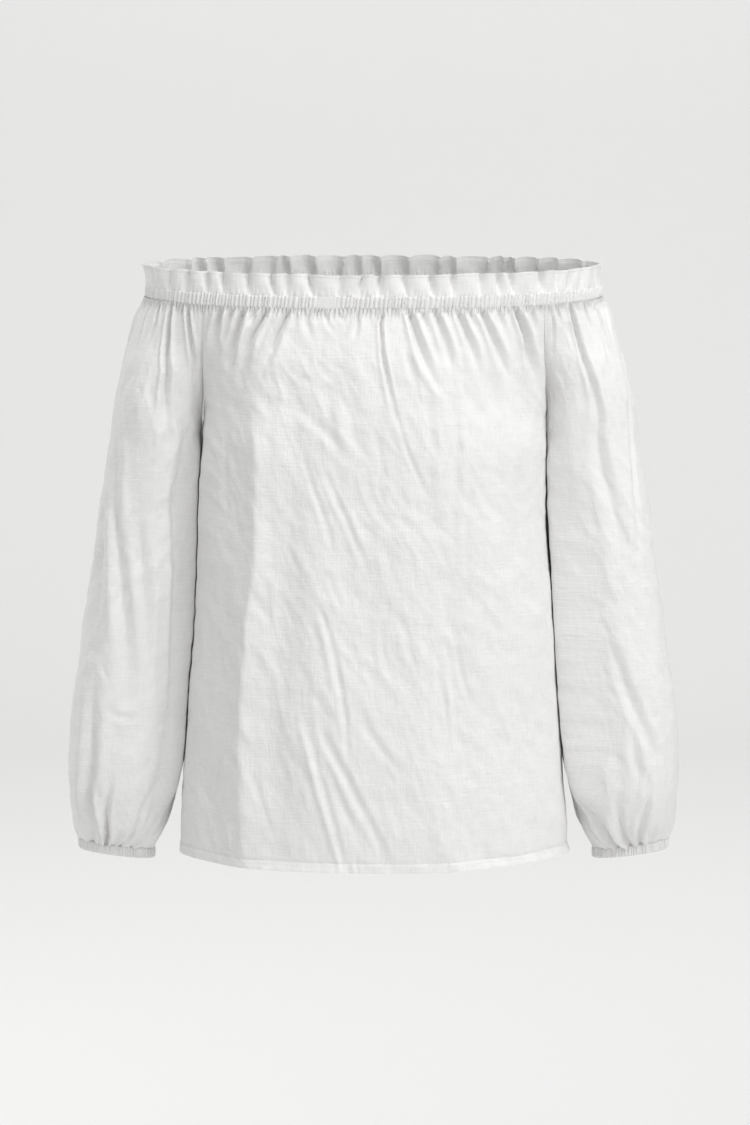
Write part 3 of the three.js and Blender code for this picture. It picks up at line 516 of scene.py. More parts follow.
def panel_points(front):
    """Grid of outer points of a panel, with the place of each point on the flat cloth."""
    side = -1 if front else 1
    neck_depth = NECK_FRONT_DEPTH if front else NECK_BACK_DEPTH
    seam_y = SEAM_FRONT_Y if front else SEAM_BACK_Y
    side_y = -SIDE_SEAM_Y if front else SIDE_SEAM_Y
    hem = FRONT_HEM if front else BACK_HEM
    u = np.sin((np.linspace(0, 1, 601) - 0.5) * math.pi)
    points, flat = [], []
    for z in panel_heights():
        blend = float(sweep_at(z))
        half = read_table(BODY_TABLE, 1, z)
        deep = read_table(BODY_TABLE, 2 if front else 3, z)
        rounded = read_table(BODY_TABLE, 4, z) * BODY_SQUARE
        edge = seam_y * (1 - blend) + side_y * blend + (SEAM_GAP / 2 if blend >= 1 else 0)
        neck_share = (neck_y(SEAM_X * u, neck_depth) - seam_y) / (neck_depth - seam_y)
        body_share = (1 - np.abs(u) ** rounded) ** (1 / rounded)
        share = neck_share * (1 - blend) + body_share * blend
        x, y, length = even_points(-side * half * u, side * (edge + (deep - edge) * share), PANEL_COLUMNS)
        fall = smooth((z - HEM_Z - HEM_FADE) / -HEM_FADE)
        height = z + neck_dip(y, z) - fall * read_table(hem, 1, x)
        points.append(np.stack([x, y, height], axis=-1))
        flat.append(np.stack([np.linspace(-0.5, 0.5, PANEL_COLUMNS + 1) * length * -side, np.full(len(x), z)], -1))
    return np.array(points), np.array(flat)


def from_edges(points):
    """Distance of each point of a grid from the nearer end of its row."""
    return np.minimum(*[np.linalg.norm(points - points[:, end], axis=2) for end in (slice(0, 1), slice(-1, None))])


def eased_underarm(points):
    """The same grid with the change of slope at the underarm rounded off, away from the seams."""
    heights = panel_heights()
    edge = from_edges(points)
    eased = points.copy()
    for row, z in enumerate(heights):
        near = bell(heights - z, EASED_OVER) * np.gradient(-heights)
        even = np.tensordot(near / near.sum(), points, axes=(0, 0))
        amount = smooth(edge[row] / EASED_FROM_SEAM) * bell(z - UNDERARM_Z, EASED_BAND)
        eased[row, :, :2] += (even - points[row])[:, :2] * amount[:, None]
    return eased


front_base, front_flat = panel_points(True)
back_base, back_flat = panel_points(False)
front_base, back_base = eased_underarm(front_base), eased_underarm(back_base)
print("front panel grid", front_base.shape, "back", back_base.shape)

# %% [markdown]
# The folds of the front, one by one as they show: the gathers start under the casing and splay outward, a strong one
# hangs left of the middle of the wearer's chest, and long creases run down towards the hem.
# Each row is half width, depth and the path of the fold. A negative depth is a ridge.

# %% Folds of the front
FRONT_GATHERS = [
    (0.0035, 0.0030, [(-0.139, -0.004), (-0.144, -0.026), (-0.149, -0.052)]),
    (0.0028, 0.0018, [(-0.128, -0.004), (-0.138, -0.034)]),
    (0.0040, 0.0036, [(-0.118, -0.004), (-0.126, -0.031), (-0.136, -0.074)]),
    (0.0028, 0.0018, [(-0.107, -0.004), (-0.115, -0.032)]),
    (0.0040, 0.0036, [(-0.096, -0.004), (-0.111, -0.031), (-0.123, -0.076)]),
    (0.0040, 0.0032, [(-0.076, -0.004), (-0.087, -0.027), (-0.103, -0.074)]),
    (0.0036, 0.0010, [(-0.062, -0.004), (-0.062, -0.018), (-0.056, -0.038)]),
    (0.0024, 0.0006, [(-0.046, -0.004), (-0.041, -0.020), (-0.030, -0.034)]),
    (0.0026, 0.0005, [(-0.032, -0.010), (-0.024, -0.020)]),
    (0.0026, 0.0018, [(-0.014, -0.004), (-0.015, -0.019), (-0.019, -0.038)]),
    (0.0022, 0.0022, [(0.010, -0.004), (0.0065, -0.019), (0.008, -0.046), (0.014, -0.080), (0.024, -0.122)]),
    (0.0042, 0.0034, [(0.031, -0.004), (0.041, -0.036), (0.058, -0.088)]),
    (0.0026, 0.0015, [(0.043, -0.004), (0.049, -0.030)]),
    (0.0040, 0.0030, [(0.055, -0.004), (0.066, -0.038), (0.074, -0.074)]),
    (0.0038, 0.0030, [(0.075, -0.004), (0.089, -0.040), (0.098, -0.076)]),
    (0.0026, 0.0015, [(0.086, -0.004), (0.094, -0.030)]),
    (0.0038, 0.0034, [(0.097, -0.004), (0.113, -0.044), (0.124, -0.080)]),
    (0.0026, 0.0016, [(0.113, -0.004), (0.120, -0.034)]),
    (0.0038, 0.0044, [(0.129, -0.004), (0.139, -0.032), (0.143, -0.058), (0.153, -0.096)]),
    (0.0026, 0.0016, [(0.144, -0.004), (0.149, -0.036)]),
]
FRONT_CREASES = [
    (0.0060, 0.0024, [(-0.0670, -0.0956), (-0.0506, -0.1140), (-0.0360, -0.1278), (-0.0251, -0.1425)]),
    (0.0034, 0.0018, [(-0.0652, -0.1388), (-0.0552, -0.1710), (-0.0424, -0.2059), (-0.0369, -0.2270)]),
    (0.0038, 0.0026, [(-0.0470, -0.1507), (-0.0351, -0.1783), (-0.0242, -0.2013),
                      (-0.0105, -0.2352), (-0.0050, -0.2518)]),
    (0.0030, 0.0016, [(0.0187, -0.0984), (0.0260, -0.1232), (0.0333, -0.1434), (0.0470, -0.1755)]),
    (0.0100, 0.0018, [(-0.0196, -0.0800), (-0.0196, -0.1048), (-0.0141, -0.1315)]),
    (0.0060, -0.0018, [(-0.0324, -0.0874), (-0.0296, -0.1186), (-0.0196, -0.1443)]),
    (0.0040, 0.0020, [(0.0278, -0.0433), (0.0342, -0.0635), (0.0406, -0.0819)]),
    (0.0040, -0.0022, [(0.0342, -0.0433), (0.0460, -0.0672), (0.0588, -0.0874)]),
    (0.0034, 0.0018, [(0.1108, -0.0405), (0.1181, -0.0598), (0.1235, -0.0782)]),
    (0.0070, 0.0016, [(0.0032, -0.1057), (0.0050, -0.1370), (0.0059, -0.1700)]),
    (0.0034, 0.0014, [(-0.0807, -0.2206), (-0.0725, -0.2380), (-0.0652, -0.2536)]),
    (0.0026, 0.0014, [(-0.0506, -0.2803), (-0.0451, -0.2894), (-0.0415, -0.3014)]),
    (0.0036, 0.0022, [(-0.0479, -0.2766), (-0.0397, -0.3069), (-0.0324, -0.3390), (-0.0269, -0.3712),
                      (-0.0242, -0.4033), (-0.0223, -0.4382)]),
    (0.0038, -0.0014, [(-0.0542, -0.2821), (-0.0451, -0.3115), (-0.0378, -0.3436), (-0.0324, -0.3749)]),
    (0.0050, 0.0024, [(-0.0160, -0.3693), (-0.0032, -0.3941), (0.0105, -0.4144),
                      (0.0242, -0.4291), (0.0333, -0.4373)]),
    (0.0042, 0.0030, [(-0.0488, -0.3905), (-0.0324, -0.4189), (-0.0196, -0.4447),
                      (-0.0032, -0.4768), (0.0132, -0.5099)]),
    (0.0040, -0.0020, [(-0.0524, -0.3978), (-0.0369, -0.4263), (-0.0251, -0.4511), (-0.0105, -0.4805)]),
    (0.0038, 0.0020, [(-0.0378, -0.4428), (-0.0260, -0.4658), (-0.0132, -0.4897)]),
    (0.0045, -0.0024, [(-0.0707, -0.3758), (-0.0597, -0.4125), (-0.0506, -0.4493),
                      (-0.0397, -0.4860), (-0.0260, -0.5319)]),
    (0.0040, 0.0020, [(-0.0643, -0.3831), (-0.0533, -0.4217), (-0.0433, -0.4584),
                      (-0.0324, -0.4952), (-0.0214, -0.5319)]),
    (0.0030, 0.0012, [(0.0077, -0.4217), (0.0132, -0.4309), (0.0196, -0.4410)]),
    (0.0030, -0.0018, [(0.0652, -0.3207), (0.0688, -0.3574), (0.0734, -0.4125)]),
    (0.0036, 0.0015, [(0.0579, -0.3207), (0.0606, -0.3482), (0.0652, -0.3721)]),
    (0.0030, 0.0015, [(0.0761, -0.3170), (0.0807, -0.3436), (0.0907, -0.3721)]),
    (0.0026, 0.0011, [(-0.0688, -0.3831), (-0.0561, -0.3868), (-0.0415, -0.3896)]),
    (0.0026, 0.0016, [(-0.1217, -0.4933), (-0.1053, -0.4906), (-0.0862, -0.4897)]),
    (0.0030, 0.0012, [(-0.1208, -0.2821), (-0.1181, -0.3115), (-0.1162, -0.3381)]),
    (0.0034, 0.0013, [(-0.1099, -0.2637), (-0.1026, -0.2803), (-0.0944, -0.2940)]),
    (0.0040, 0.0017, [(-0.1190, -0.4125), (-0.1071, -0.4465), (-0.1017, -0.4630), (-0.0916, -0.4952)]),
    (0.0040, 0.0013, [(-0.1509, -0.4474), (-0.1436, -0.4327), (-0.1345, -0.4171)]),
    (0.0036, 0.0014, [(-0.1527, -0.2885), (-0.1454, -0.2729), (-0.1327, -0.2536)]),
    (0.0030, 0.0010, [(0.0953, -0.4566), (0.1153, -0.4548), (0.1354, -0.4502)]),
    (0.0022, 0.0015, [(-0.0324, -0.4915), (-0.0260, -0.5365)]),
    (0.0022, 0.0014, [(-0.0169, -0.5025), (-0.0123, -0.5365)]),
    (0.0030, 0.0009, [(0.1135, -0.3758), (0.1244, -0.3813), (0.1372, -0.3850)]),
    (0.0046, 0.0014, [(0.0232, -0.2858), (0.0315, -0.3078), (0.0369, -0.3372)]),
    (0.0050, 0.0012, [(0.0880, -0.1553), (0.0843, -0.2013), (0.0880, -0.2518)]),
    (0.0040, 0.0012, [(-0.1345, -0.1094), (-0.1381, -0.1553), (-0.1345, -0.2013)]),
    (0.0075, 0.0026, [(0.1010, -0.0450), (0.1130, -0.1150), (0.1120, -0.2150)]),
    (0.0070, -0.0022, [(0.1180, -0.0500), (0.1290, -0.1250), (0.1260, -0.2300)]),
    (0.0060, 0.0024, [(0.0640, -0.0550), (0.0760, -0.1200), (0.0740, -0.2100)]),
    (0.0060, -0.0020, [(0.0520, -0.0600), (0.0600, -0.1200), (0.0590, -0.1900)]),
]
FRONT_SWELLS = [
    (0.0170, -0.0064, [(-0.104, -0.050), (-0.1062, -0.238), (-0.112, -0.285), (-0.1205, -0.403), (-0.119, -0.560)]),
    (0.0065, -0.0014, [(-0.104, -0.080), (-0.1085, -0.160), (-0.1045, -0.238), (-0.1125, -0.285), (-0.1175, -0.330),
                       (-0.1205, -0.403), (-0.1160, -0.460), (-0.1195, -0.560)]),
    (0.0140, -0.0012, [(0.098, -0.110), (0.094, -0.300), (0.100, -0.480)]),
    (0.0120, -0.0016, [(-0.008, -0.028), (-0.020, -0.090), (-0.040, -0.150)]),
]
print("front:", len(FRONT_GATHERS), "gathers,", len(FRONT_CREASES), "creases,", len(FRONT_SWELLS), "swells")

# %% [markdown]
# Nothing shows the back, so it gets gathers and creases of the same kind and size, at places of its own. A mirrored
# front would give it the same marks, which no two panels have.

# %% Folds of the back
BACK_GATHERS = [
    (0.0034, 0.0026, [(-0.143, -0.004), (-0.149, -0.050)]),
    (0.0040, 0.0038, [(-0.124, -0.004), (-0.130, -0.040), (-0.136, -0.084)]),
    (0.0028, 0.0018, [(-0.109, -0.004), (-0.117, -0.036)]),
    (0.0040, 0.0034, [(-0.092, -0.004), (-0.103, -0.040), (-0.108, -0.076)]),
    (0.0032, 0.0022, [(-0.073, -0.004), (-0.082, -0.044)]),
    (0.0040, 0.0038, [(-0.055, -0.004), (-0.058, -0.040), (-0.066, -0.088)]),
    (0.0028, 0.0018, [(-0.036, -0.004), (-0.040, -0.038)]),
    (0.0040, 0.0032, [(-0.019, -0.004), (-0.020, -0.038), (-0.027, -0.080)]),
    (0.0040, 0.0052, [(0.002, -0.004), (0.004, -0.030), (-0.001, -0.060), (-0.004, -0.110)]),
    (0.0028, 0.0020, [(0.021, -0.004), (0.024, -0.042)]),
    (0.0040, 0.0034, [(0.038, -0.004), (0.040, -0.040), (0.048, -0.086)]),
    (0.0032, 0.0024, [(0.058, -0.004), (0.066, -0.048)]),
    (0.0040, 0.0034, [(0.076, -0.004), (0.086, -0.040), (0.091, -0.082)]),
    (0.0028, 0.0018, [(0.095, -0.004), (0.103, -0.040)]),
    (0.0040, 0.0038, [(0.113, -0.004), (0.119, -0.040), (0.129, -0.090)]),
    (0.0028, 0.0020, [(0.131, -0.004), (0.138, -0.042)]),
    (0.0034, 0.0024, [(0.145, -0.004), (0.149, -0.054)]),
]
BACK_CREASES = [
    (0.0050, 0.0016, [(0.070, -0.130), (0.048, -0.180), (0.018, -0.240)]),
    (0.0050, 0.0013, [(-0.096, -0.120), (-0.086, -0.150), (-0.070, -0.192)]),
    (0.0050, 0.0014, [(0.040, -0.290), (0.031, -0.350), (0.030, -0.434)]),
    (0.0060, 0.0015, [(-0.060, -0.300), (-0.066, -0.350), (-0.084, -0.420)]),
    (0.0046, 0.0017, [(0.112, -0.396), (0.104, -0.446), (0.084, -0.504)]),
    (0.0046, 0.0017, [(-0.020, -0.428), (-0.030, -0.470), (-0.050, -0.516)]),
    (0.0030, 0.0010, [(0.010, -0.466), (0.026, -0.500)]),
    (0.0040, 0.0010, [(-0.120, -0.216), (-0.128, -0.250), (-0.126, -0.290)]),
    (0.0034, 0.0010, [(0.084, -0.206), (0.100, -0.236)]),
    (0.0024, 0.0009, [(-0.098, -0.462), (-0.088, -0.470), (-0.074, -0.466)]),
]
BACK_SWELLS = [
    (0.0150, -0.0024, [(0.112, -0.090), (0.108, -0.300), (0.112, -0.560)]),
    (0.0140, -0.0020, [(-0.118, -0.100), (-0.112, -0.320), (-0.116, -0.560)]),
]
print("back:", len(BACK_GATHERS), "gathers,", len(BACK_CREASES), "creases,", len(BACK_SWELLS), "swells")

# %% [markdown]
# Each panel is its smooth grid, moved in and out by the sum of its gathers, creases, swells, small tucks and crumples.
# All of them calm down towards the seams, where the cloth rolls in, and the hem is a turned band that stands a little
# proud and curls out here and there.

# %% Making the panels
SEAM_ROLL = 0.0007
SEAM_ROLL_WIDTH = 0.0016
CREASE_SLANT = -1.05
SEAM_CALM = 0.009
HEM_HEIGHT = 0.0085
HEM_STEP = 0.0005
HEM_CURL = 0.0020
CREASE_WIDTH = 0.78
CREASE_DEPTH = 0.60
PANEL_TUCK_SPACING = 0.0065
PANEL_CREASES = 380
PANEL_CREASE_BOX = (-0.175, 0.175, -0.520, -0.030)
PANEL_CUT = (0.50, 0.52)
PANEL_CUT_AREA = 0.245


def small_gathers(u, z, spacing, seed, deepest=0.0019):
    """Little tucks between the large gathers, straight under the casing."""
    rng = np.random.default_rng(seed)
    change = np.zeros(u.shape)
    place = u.min()
    while place < u.max():
        place += rng.uniform(0.7, 1.3) * spacing
        long = rng.uniform(0.010, 0.034)
        wide = rng.uniform(0.0013, 0.0022)
        deep = rng.uniform(0.35, 1.0) * deepest
        lean = rng.uniform(-0.14, 0.14)
        t = np.clip((PANEL_TOP_Z - z) / long, 0, 1)
        change -= deep * (1 - smooth(t)) * bell(u - place - lean * (PANEL_TOP_Z - z), wide * (1 + 1.2 * t))
    return change


def seam_edge(away):
    """Cloth rolls in towards a seam."""
    return -SEAM_ROLL * bell(away, SEAM_ROLL_WIDTH)


def hem_band(x, z):
    """The turned hem stands a little proud of the panel above its stitched line, and curls out here and there."""
    above = z - (HEM_Z + HEM_HEIGHT)
    curl = 0.15 + 0.85 * (smooth((x + 0.122) / 0.02) * smooth((-0.022 - x) / 0.01) + smooth((x - 0.060) / 0.04))
    rise = HEM_CURL * curl * smooth(-above / HEM_HEIGHT) ** 1.5
    return HEM_STEP * smooth(-above / 0.0012) - 0.0005 * bell(above, 0.0012) + rise


def gathered_panel(name, front):
    base, flat = (front_base, front_flat) if front else (back_base, back_flat)
    x, z = base[..., 0], np.broadcast_to(flat[..., 1], base.shape[:2])
    gathers, creases = (FRONT_GATHERS, FRONT_CREASES) if front else (BACK_GATHERS, BACK_CREASES)
    swells = FRONT_SWELLS if front else BACK_SWELLS
    seed = 10 if front else 40
    edge = from_edges(base)
    creases = [(wide * CREASE_WIDTH, deep * CREASE_DEPTH, path) for wide, deep, path in creases]
    change = fold_change(x, z, gathers, True) + fold_change(x, z, creases, False)
    change += fold_change(x, z, swells, False)
    change += small_gathers(x, z, PANEL_TUCK_SPACING, seed + 1)
    calm = smooth((PANEL_TOP_Z - z) / 0.060) * 0.85 + 0.15
    change += crumple(x, z, seed) * calm
    slant = CREASE_SLANT if front else -CREASE_SLANT
    change += small_creases(x, z, PANEL_CREASES, seed + 2, PANEL_CREASE_BOX, slant) * calm
    change = change * smooth(edge / SEAM_CALM) + seam_edge(edge) + hem_band(x, z)
    change *= smooth((PANEL_TOP_Z - z) / SEAM_CALM)
    place = ring_place(base[0, :, 0], base[0, :, 1])[None, :]
    outer = base + outward(base, len(base)) * change[..., None]
    inner = outer - outward(outer, len(outer)) * CLOTH
    stitched = np.stack([edge, z - (HEM_Z + HEM_HEIGHT)], axis=-1)
    drawn_in = np.stack(np.broadcast_arrays(place - PUCKER_LEAN * z, PANEL_TOP_Z - z), axis=-1)
    return cloth_wall(name, outer, inner, flat, None, stitched, drawn_in), outer


front_linen, front_outer = gathered_panel("front_linen", True)
back_linen, back_outer = gathered_panel("back_linen", False)
for piece, node, outer in [(front_linen, "front_panel", front_outer), (back_linen, "back_panel", back_outer)]:
    face_out_and_soften(piece)
    declare(piece, node, outer, PANEL_CUT, PANEL_CUT_AREA)

# %% [markdown]
# A raglan sleeve starts as part of the neck arc, meets itself at the underarm and is a closed tube from there
# to the cuff. It is full all the way and is drawn in over the last few centimetres, so that it blouses over the cuff.

# %% Sleeve shape
SLEEVE_TABLE = [
    # height, outermost x, innermost x, half depth, middle y
    (0, 0.2104, 0.1573, 0.071, -0.002),
    (-0.0115, 0.2157, 0.1573, 0.070, -0.002),
    (-0.0227, 0.221, 0.1573, 0.069, -0.002),
    (-0.0338, 0.2248, 0.1573, 0.0675, -0.002),
    (-0.0562, 0.231, 0.1573, 0.065, -0.002),
    (-0.0786, 0.2362, 0.1573, 0.063, -0.002),
    (-0.101, 0.241, 0.1576, 0.062, -0.002),
    (-0.130, 0.2454, 0.1586, 0.061, -0.002),
    (-0.1684, 0.2512, 0.1598, 0.061, -0.001),
    (-0.2135, 0.2576, 0.162, 0.0615, 0),
    (-0.2473, 0.2616, 0.164, 0.0625, 0),
    (-0.2812, 0.2665, 0.1662, 0.0635, 0),
    (-0.3152, 0.2718, 0.1684, 0.0645, 0),
    (-0.3492, 0.2764, 0.1708, 0.0655, 0),
    (-0.3833, 0.2811, 0.1732, 0.0665, 0),
    (-0.4174, 0.2834, 0.1758, 0.067, 0),
    (-0.4402, 0.2841, 0.1782, 0.0665, 0),
    (-0.463, 0.2836, 0.1836, 0.063, -0.001),
    (-0.4859, 0.2824, 0.1893, 0.0555, -0.002),
    (-0.4973, 0.2818, 0.1922, 0.050, -0.002),
    (-0.5087, 0.2786, 0.1982, 0.037, -0.003),
    (-0.519, 0.276, 0.2046, 0.023, -0.002),
    (-0.526, 0.276, 0.2058, 0.023, -0.002),
]
SLEEVE_ROUNDNESS = 2.25
SLEEVE_LEAN = 0.16
SLEEVE_COLUMNS = 232
SLEEVE_SEAM_ROWS = 60
SLEEVE_ROWS = 190
SLEEVE_END_Z = -0.5181
CUFF_X = 0.241
CUFF_TOP_Z = -0.5182
CUFF_TILT = 0.13


def sleeve_heights():
    above = spread_rows(PANEL_TOP_Z, UNDERARM_Z, SLEEVE_SEAM_ROWS, 0.45)
    t = np.linspace(0, 1, SLEEVE_ROWS - SLEEVE_SEAM_ROWS + 1)[1:]
    crowded = t + 0.12 * np.sin(math.pi * t) * t
    return np.concatenate([above, UNDERARM_Z + (SLEEVE_END_Z - UNDERARM_Z) * crowded])


def seam_turn(depth, seam_y):
    """Turn of the neck ring at which the raglan seam meets it."""
    across = (SEAM_X / NECK_HALF_WIDTH) ** (NECK_ROUNDNESS / 2)
    return math.atan2(across, (seam_y / depth) ** (NECK_ROUNDNESS / 2)) / (2 * math.pi)


def sleeve_points():
    """Outer grid of the sleeve on the +X side, from the front seam by the outer side to the back seam."""
    power = 2 / SLEEVE_ROUNDNESS
    samples = 720
    t = np.linspace(0, 1, samples + 1)
    start = seam_turn(NECK_FRONT_DEPTH, SEAM_FRONT_Y)
    end = 0.5 - seam_turn(NECK_BACK_DEPTH, SEAM_BACK_Y)
    arc_x, arc_y = neck_point(start + (end - start) * t)
    arc = (arc_x - SEAM_X) / (NECK_HALF_WIDTH - SEAM_X)
    from_seam = smooth(np.minimum(t, 1 - t) / 0.2)
    points, flat, heights = [], [], sleeve_heights()
    for row, z in enumerate(heights):
        blend = float(sweep_at(z))
        opened = row < SLEEVE_SEAM_ROWS - 1
        lean = SLEEVE_LEAN * smooth((UNDERARM_Z - z) / 0.080) * (1 - smooth((-z - 0.470) / 0.049))
        tilt = CUFF_TILT * smooth((-z - 0.430) / (-CUFF_TOP_Z - 0.430))
        rough_outer, rough_inner = read_table(SLEEVE_TABLE, 1, z), read_table(SLEEVE_TABLE, 2, z)
        outermost = read_table(SLEEVE_TABLE, 1, z + tilt * (rough_outer - CUFF_X))
        innermost = read_table(SLEEVE_TABLE, 2, z + tilt * (rough_inner - CUFF_X))
        if opened:
            innermost = read_table(BODY_TABLE, 1, z) + SEAM_GAP
        deep, mid = read_table(SLEEVE_TABLE, 3, z), read_table(SLEEVE_TABLE, 4, z)
        seam_angle = math.asin(np.clip(-(SIDE_SEAM_Y - mid) / deep, 0, 1) ** (1 / power))
        angle = -math.pi + seam_angle + t * 2 * math.pi
        oval_y = mid + deep * signed_power(np.sin(angle), power)
        across = arc * (1 - blend) + (signed_power(np.cos(angle), power) + 1) / 2 * blend
        across = across - lean * (oval_y - mid) / (outermost - innermost)
        y = arc_y * (1 - blend) + oval_y * blend
        full_front = max(1, (deep - mid) / -y.min())
        full_back = max(1, (deep + mid) / y.max())
        y = y * (1 + (np.where(y < 0, full_front, full_back) - 1) * from_seam)
        least = across[0] if opened else across.min()
        x = innermost + (outermost - innermost) * (across - least) / (across.max() - least)
        x, y, length = even_points(x, y, SLEEVE_COLUMNS)
        points.append(np.stack([x, y, z + neck_dip(y, z) + tilt * (x - CUFF_X)], axis=-1))
        flat.append(np.stack([np.linspace(-0.5, 0.5, SLEEVE_COLUMNS + 1) * length, np.full(len(x), z)], -1))
    return np.array(points), np.array(flat)


sleeve_base, sleeve_flat = sleeve_points()
print("sleeve grid", sleeve_base.shape, "widest", round(float(np.ptp(sleeve_flat[..., 0], axis=1).max()), 3), "m round")

# %% [markdown]
# The folds of a sleeve go round it, so their paths are given by the share of the way round, from the front seam by
# the outer side to the back seam, and the height. The two sleeves hang differently, so each has its own list.

# %% Folds of the left sleeve
LEFT_SLEEVE_GATHERS = [
    (0.0030, 0.0024, [(0.030, -0.004), (0.040, -0.024), (0.030, -0.060)]),
    (0.0024, 0.0020, [(0.068, -0.004), (0.080, -0.030)]),
    (0.0044, 0.0052, [(0.140, -0.004), (0.148, -0.026), (0.160, -0.058), (0.190, -0.080), (0.228, -0.117),
                      (0.225, -0.170), (0.238, -0.210)]),
    (0.0028, 0.0026, [(0.235, -0.004), (0.225, -0.036)]),
    (0.0036, 0.0030, [(0.310, -0.004), (0.300, -0.034), (0.285, -0.070)]),
    (0.0030, 0.0026, [(0.430, -0.004), (0.350, -0.032), (0.330, -0.050)]),
    (0.0034, 0.0026, [(0.510, -0.004), (0.530, -0.054)]),
    (0.0040, 0.0036, [(0.610, -0.004), (0.590, -0.084)]),
    (0.0034, 0.0028, [(0.720, -0.004), (0.720, -0.052)]),
    (0.0042, 0.0046, [(0.820, -0.004), (0.790, -0.080), (0.770, -0.160)]),
    (0.0032, 0.0024, [(0.930, -0.004), (0.930, -0.064)]),
]
LEFT_SLEEVE_CREASES = [
    (0.0034, 0.0018, [(0.375, -0.072), (0.362, -0.100), (0.348, -0.140), (0.308, -0.185), (0.281, -0.250)]),
    (0.0070, 0.0030, [(0.228, -0.110), (0.222, -0.170), (0.238, -0.210), (0.236, -0.262)]),
    (0.0030, -0.0014, [(0.110, -0.242), (0.126, -0.254), (0.142, -0.266)]),
    (0.0048, 0.0026, [(0.172, -0.290), (0.182, -0.310), (0.215, -0.360), (0.245, -0.395), (0.278, -0.425),
                      (0.284, -0.460), (0.286, -0.505)]),
    (0.0040, 0.0024, [(0.234, -0.388), (0.226, -0.425), (0.240, -0.456)]),
    (0.0040, 0.0048, [(0.264, -0.440), (0.262, -0.460), (0.252, -0.478), (0.235, -0.498), (0.222, -0.540)]),
    (0.0052, 0.0056, [(0.064, -0.420), (0.085, -0.455), (0.108, -0.478), (0.123, -0.500), (0.134, -0.545)]),
    (0.0040, 0.0034, [(0.015, -0.462), (0.045, -0.490), (0.075, -0.505), (0.092, -0.545)]),
    (0.0030, 0.0030, [(0.172, -0.464), (0.178, -0.490), (0.180, -0.540)]),
    (0.0060, -0.0024, [(0.145, -0.410), (0.150, -0.450), (0.150, -0.500), (0.155, -0.540)]),
    (0.0070, 0.0030, [(0.660, -0.230), (0.630, -0.320), (0.600, -0.420)]),
    (0.0050, 0.0018, [(0.840, -0.260), (0.880, -0.350)]),
    (0.0048, 0.0040, [(0.620, -0.430), (0.600, -0.480), (0.590, -0.540)]),
    (0.0044, 0.0036, [(0.780, -0.440), (0.800, -0.480), (0.790, -0.540)]),
    (0.0040, 0.0014, [(0.480, -0.240), (0.460, -0.310), (0.470, -0.380)]),
]
LEFT_SLEEVE_SWELLS = [
    (0.0120, -0.0026, [(0.100, -0.060), (0.150, -0.130), (0.130, -0.220), (0.110, -0.300)]),
    (0.0100, 0.0022, [(0.090, -0.300), (0.085, -0.370), (0.100, -0.430)]),
]
print("left sleeve:", len(LEFT_SLEEVE_GATHERS), "gathers,", len(LEFT_SLEEVE_CREASES), "creases")

# %% [markdown]
# The right sleeve hangs straighter, with one long fold from its shoulder to the cuff and a broad swell beside it.

# %% Folds of the right sleeve
RIGHT_SLEEVE_GATHERS = [
    (0.0036, 0.0040, [(0.085, -0.004), (0.060, -0.030), (0.032, -0.060), (0.030, -0.120)]),
    (0.0024, 0.0024, [(0.112, -0.004), (0.102, -0.026)]),
    (0.0044, 0.0052, [(0.178, -0.004), (0.165, -0.030), (0.140, -0.070), (0.174, -0.130), (0.138, -0.200)]),
    (0.0028, 0.0034, [(0.258, -0.004), (0.240, -0.026), (0.258, -0.046)]),
    (0.0032, 0.0030, [(0.345, -0.004), (0.325, -0.032), (0.310, -0.060)]),
    (0.0036, 0.0030, [(0.430, -0.004), (0.440, -0.080)]),
    (0.0034, 0.0026, [(0.520, -0.004), (0.510, -0.050)]),
    (0.0040, 0.0036, [(0.620, -0.004), (0.600, -0.096)]),
    (0.0034, 0.0028, [(0.730, -0.004), (0.700, -0.060)]),
    (0.0042, 0.0044, [(0.830, -0.004), (0.800, -0.080), (0.780, -0.150)]),
    (0.0032, 0.0022, [(0.930, -0.004), (0.940, -0.058)]),
]
RIGHT_SLEEVE_CREASES = [
    (0.0060, 0.0040, [(0.360, -0.110), (0.300, -0.180), (0.262, -0.240), (0.222, -0.310), (0.196, -0.372)]),
    (0.0050, 0.0024, [(0.214, -0.205), (0.180, -0.280), (0.150, -0.352)]),
    (0.0022, 0.0010, [(0.274, -0.340), (0.250, -0.357)]),
    (0.0060, 0.0046, [(0.288, -0.350), (0.284, -0.420), (0.287, -0.465), (0.300, -0.512), (0.305, -0.560)]),
    (0.0034, -0.0032, [(0.276, -0.450), (0.262, -0.485), (0.236, -0.540)]),
    (0.0028, 0.0044, [(0.224, -0.446), (0.238, -0.487), (0.226, -0.545)]),
    (0.0032, 0.0030, [(0.172, -0.540), (0.150, -0.495), (0.128, -0.474), (0.100, -0.454)]),
    (0.0030, 0.0024, [(0.118, -0.540), (0.100, -0.504), (0.070, -0.480)]),
    (0.0030, 0.0014, [(0.248, -0.384), (0.215, -0.390), (0.168, -0.393)]),
    (0.0040, -0.0022, [(0.156, -0.150), (0.128, -0.230), (0.112, -0.300), (0.096, -0.360), (0.078, -0.430)]),
    (0.0070, 0.0032, [(0.700, -0.250), (0.660, -0.340), (0.630, -0.430)]),
    (0.0050, 0.0018, [(0.860, -0.300), (0.820, -0.380)]),
    (0.0048, 0.0040, [(0.560, -0.430), (0.580, -0.480), (0.575, -0.540)]),
    (0.0044, 0.0036, [(0.740, -0.430), (0.720, -0.480), (0.730, -0.540)]),
    (0.0044, 0.0016, [(0.460, -0.200), (0.440, -0.280), (0.450, -0.350)]),
]
